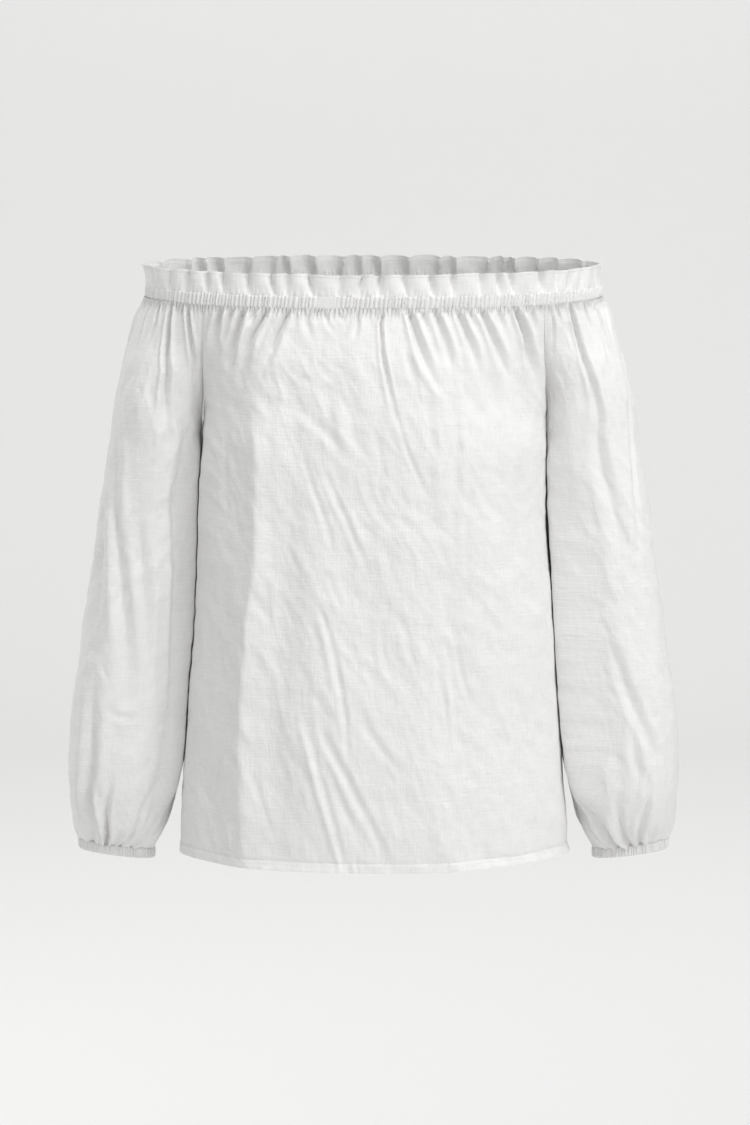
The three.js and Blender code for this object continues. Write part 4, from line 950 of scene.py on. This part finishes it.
RIGHT_SLEEVE_SWELLS = [
    (0.0130, -0.0036, [(0.220, -0.080), (0.210, -0.130), (0.175, -0.200), (0.152, -0.270),
                       (0.138, -0.340), (0.120, -0.430)]),
    (0.0090, 0.0046, [(0.125, -0.080), (0.100, -0.180), (0.070, -0.270), (0.052, -0.360), (0.055, -0.450)]),
    (0.0080, 0.0030, [(0.330, -0.180), (0.315, -0.260), (0.300, -0.330)]),
]
print("right sleeve:", len(RIGHT_SLEEVE_GATHERS), "gathers,", len(RIGHT_SLEEVE_CREASES), "creases")

# %% [markdown]
# Below the underarm a hanging sleeve lies against the body. Its inner side is first drawn onto the flank of the panels,
# in front of the side seam and behind it, and rounds away towards its own front and back. Whatever would still reach
# into a panel is then moved just clear of it, because two pieces of cloth can touch but never pass through each other.

# %% Sleeve against the body
CONTACT_GAP = 0.0006
CONTACT_BACK = 0.026
CONTACT_SHARE = 0.72
CONTACT_FADE = 0.014
CONTACT_RISE = 0.004
CONTACT_FULL_BELOW = 0.030
CONTACT_LOW = 0.458
CONTACT_LOW_FADE = 0.040
FLANK_FROM = 0.10
FLANK_STEP = 0.0012
NO_FLANK = -1.0
CLEAR_ABOVE = 0.034
CLEAR_FADE = 0.010


def panel_flank(panel, row, side):
    """The points of one row of a panel that lie on one flank of the body."""
    return panel[row][panel[row, :, 0] * side > FLANK_FROM]


def body_flank(near, side, depth):
    """How far out the body reaches at each depth, over both panels and the rows next to this one."""
    reach = np.full(depth.shape, NO_FLANK)
    for panel in (front_outer, back_outer):
        for row in range(max(near - 1, 0), min(near + 2, len(panel))):
            flank = panel_flank(panel, row, side)
            flank = flank[np.argsort(flank[:, 1])]
            for step in (-FLANK_STEP, 0.0, FLANK_STEP):
                found = np.interp(depth + step, flank[:, 1], flank[:, 0] * side, left=NO_FLANK, right=NO_FLANK)
                reach = np.maximum(reach, found)
    return reach


def lie_against_body(outer, z, mirrored, front_depth):
    """Bring the inner side of a sleeve below the underarm against the flank of the body, and keep it clear of it."""
    side = -1 if mirrored else 1
    settled = outer.copy()
    for row, height in enumerate(z[:, 0]):
        near = int(np.argmin(np.abs(front_flat[:, 0, 1] - height)))
        reach = smooth((UNDERARM_Z + CONTACT_RISE - height) / CONTACT_FULL_BELOW)
        reach = reach * (1 - smooth((-height - CONTACT_LOW) / CONTACT_LOW_FADE))
        for panel, facing, full in [(front_outer, -1, front_depth), (back_outer, 1, CONTACT_BACK)]:
            flank = panel_flank(panel, near, side)
            flank = flank[np.argsort(flank[:, 1] * facing)]
            x, depth = outer[row, :, 0], outer[row, :, 1] * facing
            body_x = np.interp(depth, flank[:, 1] * facing, flank[:, 0] * side) + CONTACT_GAP
            contact_x = np.maximum(body_x, x.min())
            corner = min(full, CONTACT_SHARE * depth.max())
            pull = smooth(depth / CONTACT_FADE) * (1 - smooth((depth - corner) / CONTACT_FADE)) * reach
            pull = pull * (x < (x.min() + x.max()) / 2)
            settled[row, :, 0] += pull * (contact_x - x)
        if height > UNDERARM_Z + CLEAR_ABOVE:
            continue
        x = settled[row, :, 0]
        gap = CONTACT_GAP * smooth((UNDERARM_Z + CLEAR_ABOVE - height) / CLEAR_FADE)
        clear_x = body_flank(near, side, settled[row, :, 1]) + gap
        inner_side = x < (x.min() + x.max()) / 2
        settled[row, :, 0] = np.where(inner_side, np.maximum(x, clear_x), x)
    return settled


print("sleeves keep", CONTACT_GAP * 1000, "mm clear of the body")

# %% [markdown]
# A sleeve is made as a panel is, with two more steps: uneven tucks draw its end into the cuff, and its front swings
# forward a little. The sleeve on the other side is the same grid turned over, with folds of its own.

# %% Making the sleeves
SLEEVE_END_TUCKS = 15
SLEEVE_END_TUCK_DEPTH = 0.0034
SLEEVE_LENGTH_ROUND = 0.350
SLEEVE_GATHER_WIDTH = 1.15
SLEEVE_GATHER = 0.62
SLEEVE_TUCK_SPACING = 0.0072
SLEEVE_CREASES = 260
SLEEVE_CREASE_SLANT = 1.9
SLEEVE_CREASE_BOX = (0, SLEEVE_LENGTH_ROUND, -0.510, -0.030)
SLEEVE_CUT = (0.40, 0.53)
SLEEVE_CUT_AREA = 0.180


def end_tucks(share, length, z, seed):
    """Uneven tucks that draw the sleeve into its cuff."""
    rng = np.random.default_rng(seed)
    change = np.zeros(share.shape)
    places = (np.arange(SLEEVE_END_TUCKS) + rng.uniform(-0.3, 0.3, SLEEVE_END_TUCKS)) / SLEEVE_END_TUCKS
    for place in places:
        long = rng.uniform(0.016, 0.046)
        wide = rng.uniform(0.0024, 0.0046)
        deep = rng.uniform(0.35, 1) * SLEEVE_END_TUCK_DEPTH
        lean = rng.uniform(-0.20, 0.20)
        up = z - SLEEVE_END_Z
        away = (np.abs((share - place + 0.5) % 1 - 0.5)) * length + lean * up
        strength = (1 - smooth(up / long)) * (0.30 + 0.70 * smooth(up / 0.010))
        change += -deep * strength * (bell(away, wide) - 0.4 * bell(np.abs(away) - 2.0 * wide, wide))
    return change


def sleeve_linen(name, mirrored, gathers, creases, swells, forward, contact, seed):
    share = np.broadcast_to(np.linspace(0, 1, SLEEVE_COLUMNS + 1), sleeve_base.shape[:2])
    length = np.ptp(sleeve_flat[..., 0], axis=1)[:, None]
    z = sleeve_flat[..., 1]
    around = share * SLEEVE_LENGTH_ROUND

    def rounded(folds):
        return [(w, d, [(at * SLEEVE_LENGTH_ROUND, height) for at, height in path]) for w, d, path in folds]

    edge = np.minimum(share, 1 - share) * length
    gathers = [(wide * SLEEVE_GATHER_WIDTH, deep * SLEEVE_GATHER, path) for wide, deep, path in rounded(gathers)]
    change = fold_change(around, z, gathers, True) + fold_change(around, z, rounded(creases), False)
    change += fold_change(around, z, rounded(swells), False)
    change += small_gathers(around, z, SLEEVE_TUCK_SPACING, seed + 1)
    change += end_tucks(share, length, z, seed + 2)
    calm = (smooth((PANEL_TOP_Z - z) / 0.060) * 0.8 + 0.2) * (0.25 + 0.75 * smooth((z - SLEEVE_END_Z) / 0.030))
    change += crumple(around, z, seed) * calm
    change += small_creases(around, z, SLEEVE_CREASES, seed + 3, SLEEVE_CREASE_BOX, SLEEVE_CREASE_SLANT) * calm
    change = change * smooth(edge / SEAM_CALM) + seam_edge(edge)
    change *= smooth((PANEL_TOP_Z - z) / SEAM_CALM)
    place = ring_place(sleeve_base[0, :, 0], sleeve_base[0, :, 1])[None, :]
    wrap = SLEEVE_SEAM_ROWS - 1
    outer = sleeve_base + outward(sleeve_base, wrap) * change[..., None]
    reach = smooth((-0.085 - z) / 0.060) * (1 - smooth((-z - 0.400) / 0.090))
    wrapped = (share + 0.5) % 1 - 0.5
    outer[..., 1] -= forward * reach * bell(wrapped - 0.030, 0.065)
    outer = lie_against_body(outer, z, mirrored, contact)
    inner = outer - outward(outer, wrap) * CLOTH
    stitched = np.stack([edge + smooth((UNDERARM_Z - z) / 0.003), np.ones(z.shape)], axis=-1)
    drawn_in = np.stack(np.broadcast_arrays(place, PANEL_TOP_Z - z), axis=-1)
    flat = sleeve_flat.copy()
    if mirrored:
        outer, inner, flat = outer[:, ::-1] * MIRROR, inner[:, ::-1] * MIRROR, flat[:, ::-1] * MIRROR[:2]
        stitched, drawn_in = stitched[:, ::-1], drawn_in[:, ::-1]
    return cloth_wall(name, outer, inner, flat, wrap, stitched, drawn_in), outer


left_sleeve, left_outer = sleeve_linen(
    "left_sleeve_linen", False, LEFT_SLEEVE_GATHERS, LEFT_SLEEVE_CREASES, LEFT_SLEEVE_SWELLS, 0.014, 0.050, 70)
right_sleeve, right_outer = sleeve_linen(
    "right_sleeve_linen", True, RIGHT_SLEEVE_GATHERS, RIGHT_SLEEVE_CREASES, RIGHT_SLEEVE_SWELLS, 0.001, 0.033, 90)
for piece, node, outer in [(left_sleeve, "sleeve_left", left_outer), (right_sleeve, "sleeve_right", right_outer)]:
    face_out_and_soften(piece)
    declare(piece, node, outer, SLEEVE_CUT, SLEEVE_CUT_AREA)

# %% [markdown]
# A casing is a narrow tunnel of cloth with elastic inside. The neck's one carries the puckers over its whole height,
# a little fuller in the middle, where the elastic fills it. Its edges reach half a millimetre over its neighbours, as a
# sewn seam does, so that no light shows between them.

# %% Puckered casings
CASING_WALL = 0.0018
NECK_BULGE = 0.0003
CASING_OVERLAP = 0.0005
CASING_PROUD = 0.0002
CASING_ROWS = 13
CASING_COLUMNS = 1530
CASING_PUCKER = 1.45


def casing_rows(rows):
    """Share of the height, fullness of the bulge and of the puckers for each row from the top down."""
    up = np.linspace(1, 0, rows)
    bulge = np.sqrt(np.clip(1 - (2 * up - 1) ** 2, 0, 1))
    return up, bulge, 0.45 + 0.55 * smooth(bulge * 1.3)


def neck_casing():
    x, y, total = even_points(ring_x, ring_y, CASING_COLUMNS)
    nx, ny = neck_normal(x, y)
    along = np.linspace(0, total, CASING_COLUMNS + 1)
    outer, inner = [], []
    for up, bulge, full in zip(*casing_rows(CASING_ROWS)):
        z = (CASING_HEIGHT + 2 * CASING_OVERLAP) * (up - 0.5)
        pucker = CASING_PUCKER * neck_puckers(along, z) * full
        push = NECK_BULGE * bulge + pucker + CASING_PROUD
        wobble = 0.0004 * bulge * hills(along, along * 0 + up * 0.01, 0.03, 0.02, 6)
        height = neck_dip(y, 0) + z + wobble
        outer.append(np.stack([x + nx * push, y + ny * push, height], axis=-1))
        back = -CASING_WALL + 0.4 * pucker - 0.5 * NECK_BULGE * bulge
        inner.append(np.stack([x + nx * back, y + ny * back, height], axis=-1))
    up = np.linspace(1, 0, CASING_ROWS)[:, None] * CASING_HEIGHT
    flat = np.stack(np.broadcast_arrays(along[None, :], up), axis=-1)
    outer = np.array(outer)
    return cloth_wall("neck_casing_linen", outer, np.array(inner), flat, 0), outer


casing_linen, casing_outer = neck_casing()
face_out_and_soften(casing_linen)
declare(casing_linen, "neck_casing", casing_outer, (1.30, 0.011))

# %% [markdown]
# Above the casing the same cloth stands up as a frill. Its folds are listed where they show, in front and
# behind, and each one is a narrow valley beside a broad full crest. The top edge is turned and stitched.

# %% Neck frill
FRILL_FRONT_VALLEYS = [
    # x, depth
    (-0.2050, 0.0020), (-0.1888, 0.0034), (-0.1733, 0.0030), (-0.1533, 0.0040), (-0.1378, 0.0032),
    (-0.1151, 0.0046), (-0.0923, 0.0042), (-0.0805, 0.0034), (-0.0569, 0.0050), (-0.0323, 0.0022),
    (-0.0150, 0.0040), (0.0045, 0.0056), (0.0296, 0.0022), (0.0532, 0.0046), (0.0714, 0.0040),
    (0.0978, 0.0022), (0.1151, 0.0042), (0.1269, 0.0034), (0.1542, 0.0048), (0.1670, 0.0024),
    (0.1788, 0.0028), (0.1906, 0.0030), (0.2060, 0.0020),
]
FRILL_BACK_VALLEYS = [
    (0.2000, 0.0024), (0.1763, 0.0040), (0.1570, 0.0036), (0.1357, 0.0042), (0.1234, 0.0026),
    (0.1073, 0.0038), (0.0789, 0.0046), (0.0619, 0.0032), (0.0336, 0.0048), (0.0071, 0.0040),
    (-0.0109, 0.0032), (-0.0298, 0.0030), (-0.0544, 0.0048), (-0.0789, 0.0040), (-0.0931, 0.0032),
    (-0.1177, 0.0046), (-0.1423, 0.0040), (-0.1584, 0.0032), (-0.1744, 0.0034), (-0.1990, 0.0024),
]
FRILL_HEIGHT = 0.0198
FRILL_FRONT_TALLER = 0.0008
FRILL_BACK_TALLER = 0.0019
FRILL_FLARE = -0.0012
FRILL_ARCH = 0.20
FRILL_ROWS = 30
FRILL_COLUMNS = 1000
FRILL_CLOTH = 0.0009
FRILL_EDGE = 0.0028
FRILL_TIP_FLARE = 0.0035
FRILL_ARCH_LIMIT = 0.0044
FRILL_RIM = 0.13
FRILL_SMALL_PITCH = 0.0068
FRILL_SMALL_DEPTH = 0.0012


def frill_valleys(total):
    """Valleys round the ring in order: place, depth, slant and how full the crest after it stands."""
    x, y, _ = even_points(ring_x, ring_y, RING_SAMPLES)
    rng = np.random.default_rng(8)
    rows = []
    for valleys, front in [(FRILL_FRONT_VALLEYS, True), (FRILL_BACK_VALLEYS, False)]:
        for valley_x, deep in valleys:
            gap = np.where((y < 0) == front, np.abs(x - valley_x), np.inf)
            place = float(np.argmin(gap)) / RING_SAMPLES * total
            rows.append((place, deep, rng.uniform(-0.24, 0.24), rng.uniform(0.75, 1.2)))
    return sorted(rows)


def frill_wave(along, total, up, valleys):
    """Push of the frill outward at a share of its height: full rounded crests between narrow valleys."""
    turn = along % total
    rise = (up - 0.15) * FRILL_HEIGHT
    places = np.array([place + slant * rise for place, _, slant, _ in valleys])
    deep = np.array([row[1] for row in valleys])
    full = np.array([row[3] for row in valleys])
    i = (np.searchsorted(places, turn, side="right") - 1) % len(places)
    following = (i + 1) % len(places)
    wide = (places[following] - places[i]) % total
    k = ((turn - places[i]) % total) / wide
    arch = np.minimum(wide * FRILL_ARCH, FRILL_ARCH_LIMIT) * full[i]
    crest = np.sin(math.pi * k) ** 1.15
    valley = deep[i] * bell(k * wide, 0.0028) + deep[following] * bell((1 - k) * wide, 0.0017)
    return arch * (crest - 0.55) - 1.25 * valley


def neck_frill():
    x, y, total = even_points(ring_x, ring_y, FRILL_COLUMNS)
    nx, ny = neck_normal(x, y)
    along = np.linspace(0, total, FRILL_COLUMNS + 1)
    taller = FRILL_FRONT_TALLER * np.clip(-y / NECK_FRONT_DEPTH, 0, 1)
    taller = taller + FRILL_BACK_TALLER * np.clip(y / NECK_BACK_DEPTH, 0, 1)
    outer, valleys = [], frill_valleys(total)
    for up in np.linspace(1, 0, FRILL_ROWS):
        lean = 0.004 * (up - 0.2) * hills(along, along * 0, 0.05, 1, 12)
        wave = frill_wave(along + lean, total, up, valleys)
        small = FRILL_SMALL_DEPTH * (pucker_wave(along, total, FRILL_SMALL_PITCH, 9) - 0.5)
        small = small * (1 - smooth((up - 0.05) / 0.42)) * smooth(up / 0.1)
        tiny = neck_puckers(along, CASING_HEIGHT / 2 + up * FRILL_HEIGHT)
        roll = 0.0011 * hills(along, along * 0 + up * 0.02, 0.018, 0.03, 14) * up
        tip = FRILL_TIP_FLARE * bell(x + NECK_HALF_WIDTH, 0.010) * up**2
        push = FRILL_FLARE * up + wave * (0.16 * smooth(up / 0.12) + 0.84 * smooth(up / 0.85) ** 0.8)
        push = push + small + tiny + roll + tip
        rim = frill_wave(along, total, 1, valleys)
        height = FRILL_HEIGHT + taller + FRILL_RIM * rim + 0.0010 * hills(along, along * 0, 0.022, 1, 15)
        below_edge = (1 - up) * height
        band = 0.00030 * (1 - smooth((below_edge - FRILL_EDGE) / 0.0008))
        push = push + band - 0.00022 * bell(below_edge - FRILL_EDGE, 0.0006)
        z = neck_dip(y, 0) + CASING_HEIGHT / 2 + height * up
        outer.append(np.stack([x + nx * push, y + ny * push, z], axis=-1))
    outer = np.array(outer)
    inner = outer - outward(outer, 0) * FRILL_CLOTH
    up = np.linspace(1, 0, FRILL_ROWS)[:, None] * FRILL_HEIGHT
    flat = np.stack(np.broadcast_arrays(along[None, :], up), axis=-1)
    stitched = np.stack(np.broadcast_arrays(np.ones((1, len(along))), FRILL_HEIGHT - up - FRILL_EDGE), axis=-1)
    return cloth_wall("neck_frill_linen", outer, inner, flat, 0, stitched), outer


frill_linen, frill_outer = neck_frill()
face_out_and_soften(frill_linen)
declare(frill_linen, "neck_frill", frill_outer, (1.30, 0.022))

# %% [markdown]
# The cuffs are the same kind of casing, smaller and with finer puckers, level with the tilted sleeve end. A Solidify
# modifier would carry the puckers through to the inside, where they are much shallower, so both faces are drawn.

# %% Cuffs
CUFF_HEIGHT = 0.0098
CUFF_HALF_WIDTH = 0.035
CUFF_HALF_DEPTH = 0.023
CUFF_MIDDLE_Y = -0.002
CUFF_PUCKER_PITCH = 0.0027
CUFF_PUCKER_DEPTH = 0.0014
CUFF_COLUMNS = 520
CUFF_ROWS = 9
CUFF_BUMP_PLACE = 0.8


def cuff_ring(name, mirrored, seed):
    power = 2 / SLEEVE_ROUNDNESS
    angle = -math.pi + np.linspace(0, 1, 961) * 2 * math.pi
    oval_x = CUFF_X + CUFF_HALF_WIDTH * signed_power(np.cos(angle), power)
    oval_y = CUFF_MIDDLE_Y + CUFF_HALF_DEPTH * signed_power(np.sin(angle), power)
    x, y, total = even_points(oval_x, oval_y, CUFF_COLUMNS)
    step_x = np.roll(x[:-1], -1) - np.roll(x[:-1], 1)
    step_y = np.roll(y[:-1], -1) - np.roll(y[:-1], 1)
    size = np.hypot(step_x, step_y)
    nx, ny = np.append(step_y / size, step_y[0] / size[0]), np.append(-step_x / size, -step_x[0] / size[0])
    along = np.linspace(0, total, CUFF_COLUMNS + 1)
    outer, inner = [], []
    for up, bulge, share in zip(*casing_rows(CUFF_ROWS)):
        wave = pucker_wave(along, total, CUFF_PUCKER_PITCH, seed)
        push = 0.0004 * bulge + CUFF_PUCKER_DEPTH * share * wave - 0.0003
        for grid, away in [(outer, push), (inner, -CASING_WALL - 0.0002 * bulge + 0.1 * wave * CUFF_PUCKER_DEPTH)]:
            px, py = x + nx * away, y + ny * away
            z = CUFF_TOP_Z + 0.0004 + CUFF_TILT * (px - CUFF_X) - CUFF_HEIGHT * (1 - up)
            grid.append(np.stack([px, py, z], axis=-1))
    outer, inner = np.array(outer), np.array(inner)
    up = np.linspace(1, 0, CUFF_ROWS)[:, None] * CUFF_HEIGHT
    flat = np.stack(np.broadcast_arrays(along[None, :], up), axis=-1)
    if mirrored:
        outer, inner, flat = outer[:, ::-1] * MIRROR, inner[:, ::-1] * MIRROR, flat[:, ::-1]
    bump_along = along[None, :] * NECK_PUCKER_PITCH / CUFF_PUCKER_PITCH
    drawn_in = np.stack(np.broadcast_arrays(bump_along, CUFF_BUMP_PLACE * PUCKER_FADE + 0 * up), axis=-1)
    return cloth_wall(name, outer, inner, flat, 0, None, drawn_in), outer


left_cuff, left_cuff_outer = cuff_ring("left_cuff_linen", False, 21)
right_cuff, right_cuff_outer = cuff_ring("right_cuff_linen", True, 22)
for piece, node, outer in [(left_cuff, "cuff_left", left_cuff_outer), (right_cuff, "cuff_right", right_cuff_outer)]:
    face_out_and_soften(piece)
    declare(piece, node, outer, (0.26, 0.011))

# %% [markdown]
# White linen is matt and a little uneven: warp and weft yarns thicken and thin, so faint upright and level streaks
# cross each other. Before the material is put together come four small helpers: one for sums, one for a UV map, one for
# a bump, and one that turns the distance from an edge into a row of stitches.

# %% Helpers for the material
SEAM_STITCH = 0.0048
STITCH_LENGTH = 0.0027
STITCH_HALF_WIDTH = 0.0007


def math_node(nodes, links, operation, *values):
    """A Math node; each value is a number or another node's output."""
    node = nodes.new("ShaderNodeMath")
    node.operation = operation
    for place, value in enumerate(values):
        if isinstance(value, (int, float)):
            node.inputs[place].default_value = value
        else:
            links.new(value, node.inputs[place])
    return node.outputs["Value"]


def map_place(nodes, links, name):
    """A UV map of the piece and its two coordinates."""
    place = nodes.new("ShaderNodeUVMap")
    place.uv_map = name
    split = nodes.new("ShaderNodeSeparateXYZ")
    links.new(place.outputs["UV"], split.inputs["Vector"])
    return place.outputs["UV"], split.outputs["X"], split.outputs["Y"]


def bump(nodes, links, height, strength, distance, below=None):
    """A Bump node over another one; distance is its height in metres."""
    node = nodes.new("ShaderNodeBump")
    node.inputs["Strength"].default_value = strength
    node.inputs["Distance"].default_value = distance
    links.new(height, node.inputs["Height"])
    if below:
        links.new(below.outputs["Normal"], node.inputs["Normal"])
    return node


def stitch_line(nodes, links, distance, line, along):
    """1 on the threads of a row of stitches at this distance from an edge, 0 elsewhere."""
    away = math_node(nodes, links, "ABSOLUTE", math_node(nodes, links, "SUBTRACT", distance, line))
    share = math_node(nodes, links, "DIVIDE", away, STITCH_HALF_WIDTH)
    on_line = math_node(nodes, links, "SUBTRACT", 1.0, math_node(nodes, links, "MINIMUM", share, 1.0))
    turn = math_node(nodes, links, "MULTIPLY", along, 2 * math.pi / STITCH_LENGTH)
    wave = math_node(nodes, links, "SINE", turn)
    thread = math_node(nodes, links, "MULTIPLY_ADD", wave, 0.4, 0.6)
    return math_node(nodes, links, "MULTIPLY", on_line, thread)


print("stitches", STITCH_LENGTH * 1000, "mm long,", SEAM_STITCH * 1000, "mm from a seam")

# %% [markdown]
# The streaks are stretched noise laid out on the cloth's own map, in real metres, and drive both the colour and a very
# low bump. A photo of linen would do as well, but it would need a tiling that shows. Finer things than the mesh can
# carry are bump too: the finest puckers under the casing, a crushed mottle and the rows of stitches.

# %% Linen material
LINEN_WHITE = (0.825, 0.823, 0.817, 1)
LINEN_SHADE = (0.735, 0.732, 0.723, 1)
PUCKER_BUMP = 0.0009
WEAVE_BUMP = 0.00055
CRUSHED_BUMP = 0.0019
STITCH_BUMP = 0.0004
PUCKER_NOISE = 95
PUCKER_WANDER = 9.0


def linen(name, slub=1.0):
    material = bpy.data.materials.new(name)
    material.use_nodes = True
    nodes, links = material.node_tree.nodes, material.node_tree.links
    shader = nodes["Principled BSDF"]
    for socket, value in [
        ("Roughness", 0.92), ("Specular IOR Level", 0.22), ("Sheen Weight", 0.12), ("Sheen Roughness", 0.5),
    ]:
        shader.inputs[socket].default_value = value
    cloth, cloth_x, cloth_y = map_place(nodes, links, "cloth")
    _, from_seam, from_hem = map_place(nodes, links, "stitches")
    gathered, along_neck, below_casing = map_place(nodes, links, "drawn_in")

    def streaks(scale_u, scale_v, detail):
        stretch = nodes.new("ShaderNodeMapping")
        stretch.inputs["Scale"].default_value = (scale_u, scale_v, 1)
        noise = nodes.new("ShaderNodeTexNoise")
        noise.inputs["Scale"].default_value = 1
        noise.inputs["Detail"].default_value = detail
        links.new(cloth, stretch.inputs["Vector"])
        links.new(stretch.outputs["Vector"], noise.inputs["Vector"])
        return noise.outputs["Fac"]

    yarns = math_node(nodes, links, "ADD", streaks(520, 70, 4), streaks(55, 560, 4))
    cloudy = streaks(75, 60, 5)
    both = math_node(nodes, links, "MULTIPLY_ADD", cloudy, 0.5, yarns)
    ramp = nodes.new("ShaderNodeValToRGB")
    for element, position, colour in zip(ramp.color_ramp.elements, (0.30, 0.72), (LINEN_SHADE, LINEN_WHITE)):
        element.position = position
        element.color = colour
    links.new(math_node(nodes, links, "MULTIPLY", both, 0.4), ramp.inputs["Fac"])
    links.new(ramp.outputs["Color"], shader.inputs["Base Color"])

    seam = stitch_line(nodes, links, from_seam, SEAM_STITCH, cloth_y)
    hem = stitch_line(nodes, links, from_hem, 0.0, cloth_x)
    stitches = math_node(nodes, links, "MAXIMUM", seam, hem)

    uneven = nodes.new("ShaderNodeTexNoise")
    uneven.inputs["Scale"].default_value = PUCKER_NOISE
    links.new(gathered, uneven.inputs["Vector"])
    turn = math_node(nodes, links, "MULTIPLY", along_neck, 2 * math.pi / NECK_PUCKER_PITCH)
    turn = math_node(nodes, links, "MULTIPLY_ADD", uneven.outputs["Fac"], PUCKER_WANDER, turn)
    away = math_node(nodes, links, "DIVIDE", below_casing, PUCKER_FADE)
    near_casing = math_node(nodes, links, "SUBTRACT", 1.0, math_node(nodes, links, "MINIMUM", away, 1.0))
    near_casing = math_node(nodes, links, "POWER", near_casing, 0.9)
    puckers = math_node(nodes, links, "MULTIPLY", math_node(nodes, links, "SINE", turn), near_casing)

    pucker_bump = bump(nodes, links, puckers, 1.0, PUCKER_BUMP)
    weave_bump = bump(nodes, links, yarns, 0.6, WEAVE_BUMP * slub, pucker_bump)
    crushed_bump = bump(nodes, links, cloudy, 0.7, CRUSHED_BUMP * slub, weave_bump)
    stitch_bump = bump(nodes, links, stitches, 0.6, STITCH_BUMP, crushed_bump)
    stitch_bump.invert = True
    links.new(stitch_bump.outputs["Normal"], shader.inputs["Normal"])
    return material


body_cloth = linen("body_linen")
frill_cloth = linen("frill_linen", 0.8)
casing_cloth = linen("casing_linen", 0.6)
for piece, cloth in [
    (front_linen, body_cloth), (back_linen, body_cloth), (left_sleeve, body_cloth), (right_sleeve, body_cloth),
    (frill_linen, frill_cloth), (casing_linen, casing_cloth), (left_cuff, casing_cloth), (right_cuff, casing_cloth),
]:
    piece.data.materials.append(cloth)
print("materials", [m.name for m in bpy.data.materials])

# %% [markdown]
# The stage is a plain pale sweep: a floor that bends up into a wall. A flat background colour would do for one picture,
# but a real sweep also throws soft light back on the cloth. The wall stands seven metres behind, so that a camera
# that looks at the garment from behind still stands in front of it.

# %% Stage
STAGE_GREY = (0.80, 0.80, 0.795, 1)
FLOOR_Z = -1.35
WALL_Y = 7.0
BEND = 1.2
STAGE_HALF_WIDTH = 9.0


def pale_sweep():
    """A floor and a wall joined by a quarter round."""
    profile = [(-9.0, FLOOR_Z)]
    for step in range(13):
        angle = step / 12 * math.pi / 2
        profile.append((WALL_Y - BEND + BEND * math.sin(angle), FLOOR_Z + BEND - BEND * math.cos(angle)))
    profile.append((WALL_Y, 6.0))
    points = [(x, y, z) for y, z in profile for x in (-STAGE_HALF_WIDTH, STAGE_HALF_WIDTH)]
    faces = [(2 * i, 2 * i + 1, 2 * i + 3, 2 * i + 2) for i in range(len(profile) - 1)]
    mesh = bpy.data.meshes.new("pale_sweep")
    mesh.from_pydata(points, [], faces)
    sweep = bpy.data.objects.new("pale_sweep", mesh)
    bpy.context.scene.collection.objects.link(sweep)
    material = bpy.data.materials.new("pale_paper")
    material.use_nodes = True
    shader = material.node_tree.nodes["Principled BSDF"]
    shader.inputs["Base Color"].default_value = STAGE_GREY
    shader.inputs["Roughness"].default_value = 1
    shader.inputs["Specular IOR Level"].default_value = 0
    mesh.materials.append(material)
    for polygon in mesh.polygons:
        polygon.use_smooth = True
    return sweep


sweep = pale_sweep()
print("stage from", FLOOR_Z, "m, wall at", WALL_Y, "m")

# %% [markdown]
# White cloth shows its folds only if the light comes from one side more than from the other. Two soft lamps on the
# right shape it and weak ones fill the shadows from the left, from below and from the camera. One hangs overhead,
# one washes the wall, and one lights the back of the garment.

# %% Light
MIDDLE = (0, 0, -0.25)
SURROUNDINGS = 0.43
LAMPS = [
    # name, place, what it points at, width and height, power in watts
    ("side_key", (3.4, -1.2, 0.9), MIDDLE, (1.2, 1.8), 13.6),
    ("front_key", (2.4, -2.6, 1.3), MIDDLE, (1.4, 1.8), 37),
    ("front_fill", (0.2, -4.6, 0.8), MIDDLE, (2.0, 1.6), 5),
    ("left_fill", (-2.6, -2.4, 0.6), MIDDLE, (1.8, 1.8), 11),
    ("overhead", (0.3, -0.8, 3.0), MIDDLE, (2.0, 1.6), 63),
    ("low_fill", (0.8, -3.0, -0.8), MIDDLE, (1.8, 1.0), 8),
    ("wall_wash", (0, 2.86, 3.35), (0, 7.0, -0.10), (6.7, 1.34), 147),
    ("back_key", (-3.2, 2.2, 0.3), MIDDLE, (1.4, 1.8), 38),
]


def soft_lamp(name, place, aim, size, power):
    data = bpy.data.lights.new(name, "AREA")
    data.shape = "RECTANGLE"
    data.size, data.size_y = size
    data.energy = power
    lamp = bpy.data.objects.new(name, data)
    lamp.location = place
    lamp.rotation_euler = (Vector(aim) - Vector(place)).to_track_quat("-Z", "Y").to_euler()
    bpy.context.scene.collection.objects.link(lamp)
    return lamp


for lamp in LAMPS:
    soft_lamp(*lamp)
world = bpy.data.worlds.new("soft_surroundings")
world.use_nodes = True
world.node_tree.nodes["Background"].inputs["Color"].default_value = (1, 1, 1, 1)
world.node_tree.nodes["Background"].inputs["Strength"].default_value = SURROUNDINGS
bpy.context.scene.world = world
print("lamps", len(LAMPS))

# %% [markdown]
# The camera stands five metres off, a little above the garment, and looks down on it by seven degrees, which shows
# the inside of the back frill over the front one. A long lens keeps the outline as it is in the picture.

# %% Camera
CAMERA_PLACE = (0.0014, -4.96273, 0.35495)
CAMERA_TILT = 83
LENS = 171.3
SENSOR = 36
SIGHT = 40

camera_data = bpy.data.cameras.new("camera")
camera_data.lens = LENS
camera_data.sensor_width = SENSOR
camera_data.clip_end = SIGHT
camera = bpy.data.objects.new("camera", camera_data)
camera.location = CAMERA_PLACE
camera.rotation_euler = (math.radians(CAMERA_TILT), 0, 0)
bpy.context.scene.collection.objects.link(camera)
bpy.context.scene.camera = camera
bpy.context.scene.view_settings.view_transform = "Standard"
bpy.context.scene.view_settings.look = "None"
print("camera", CAMERA_PLACE)
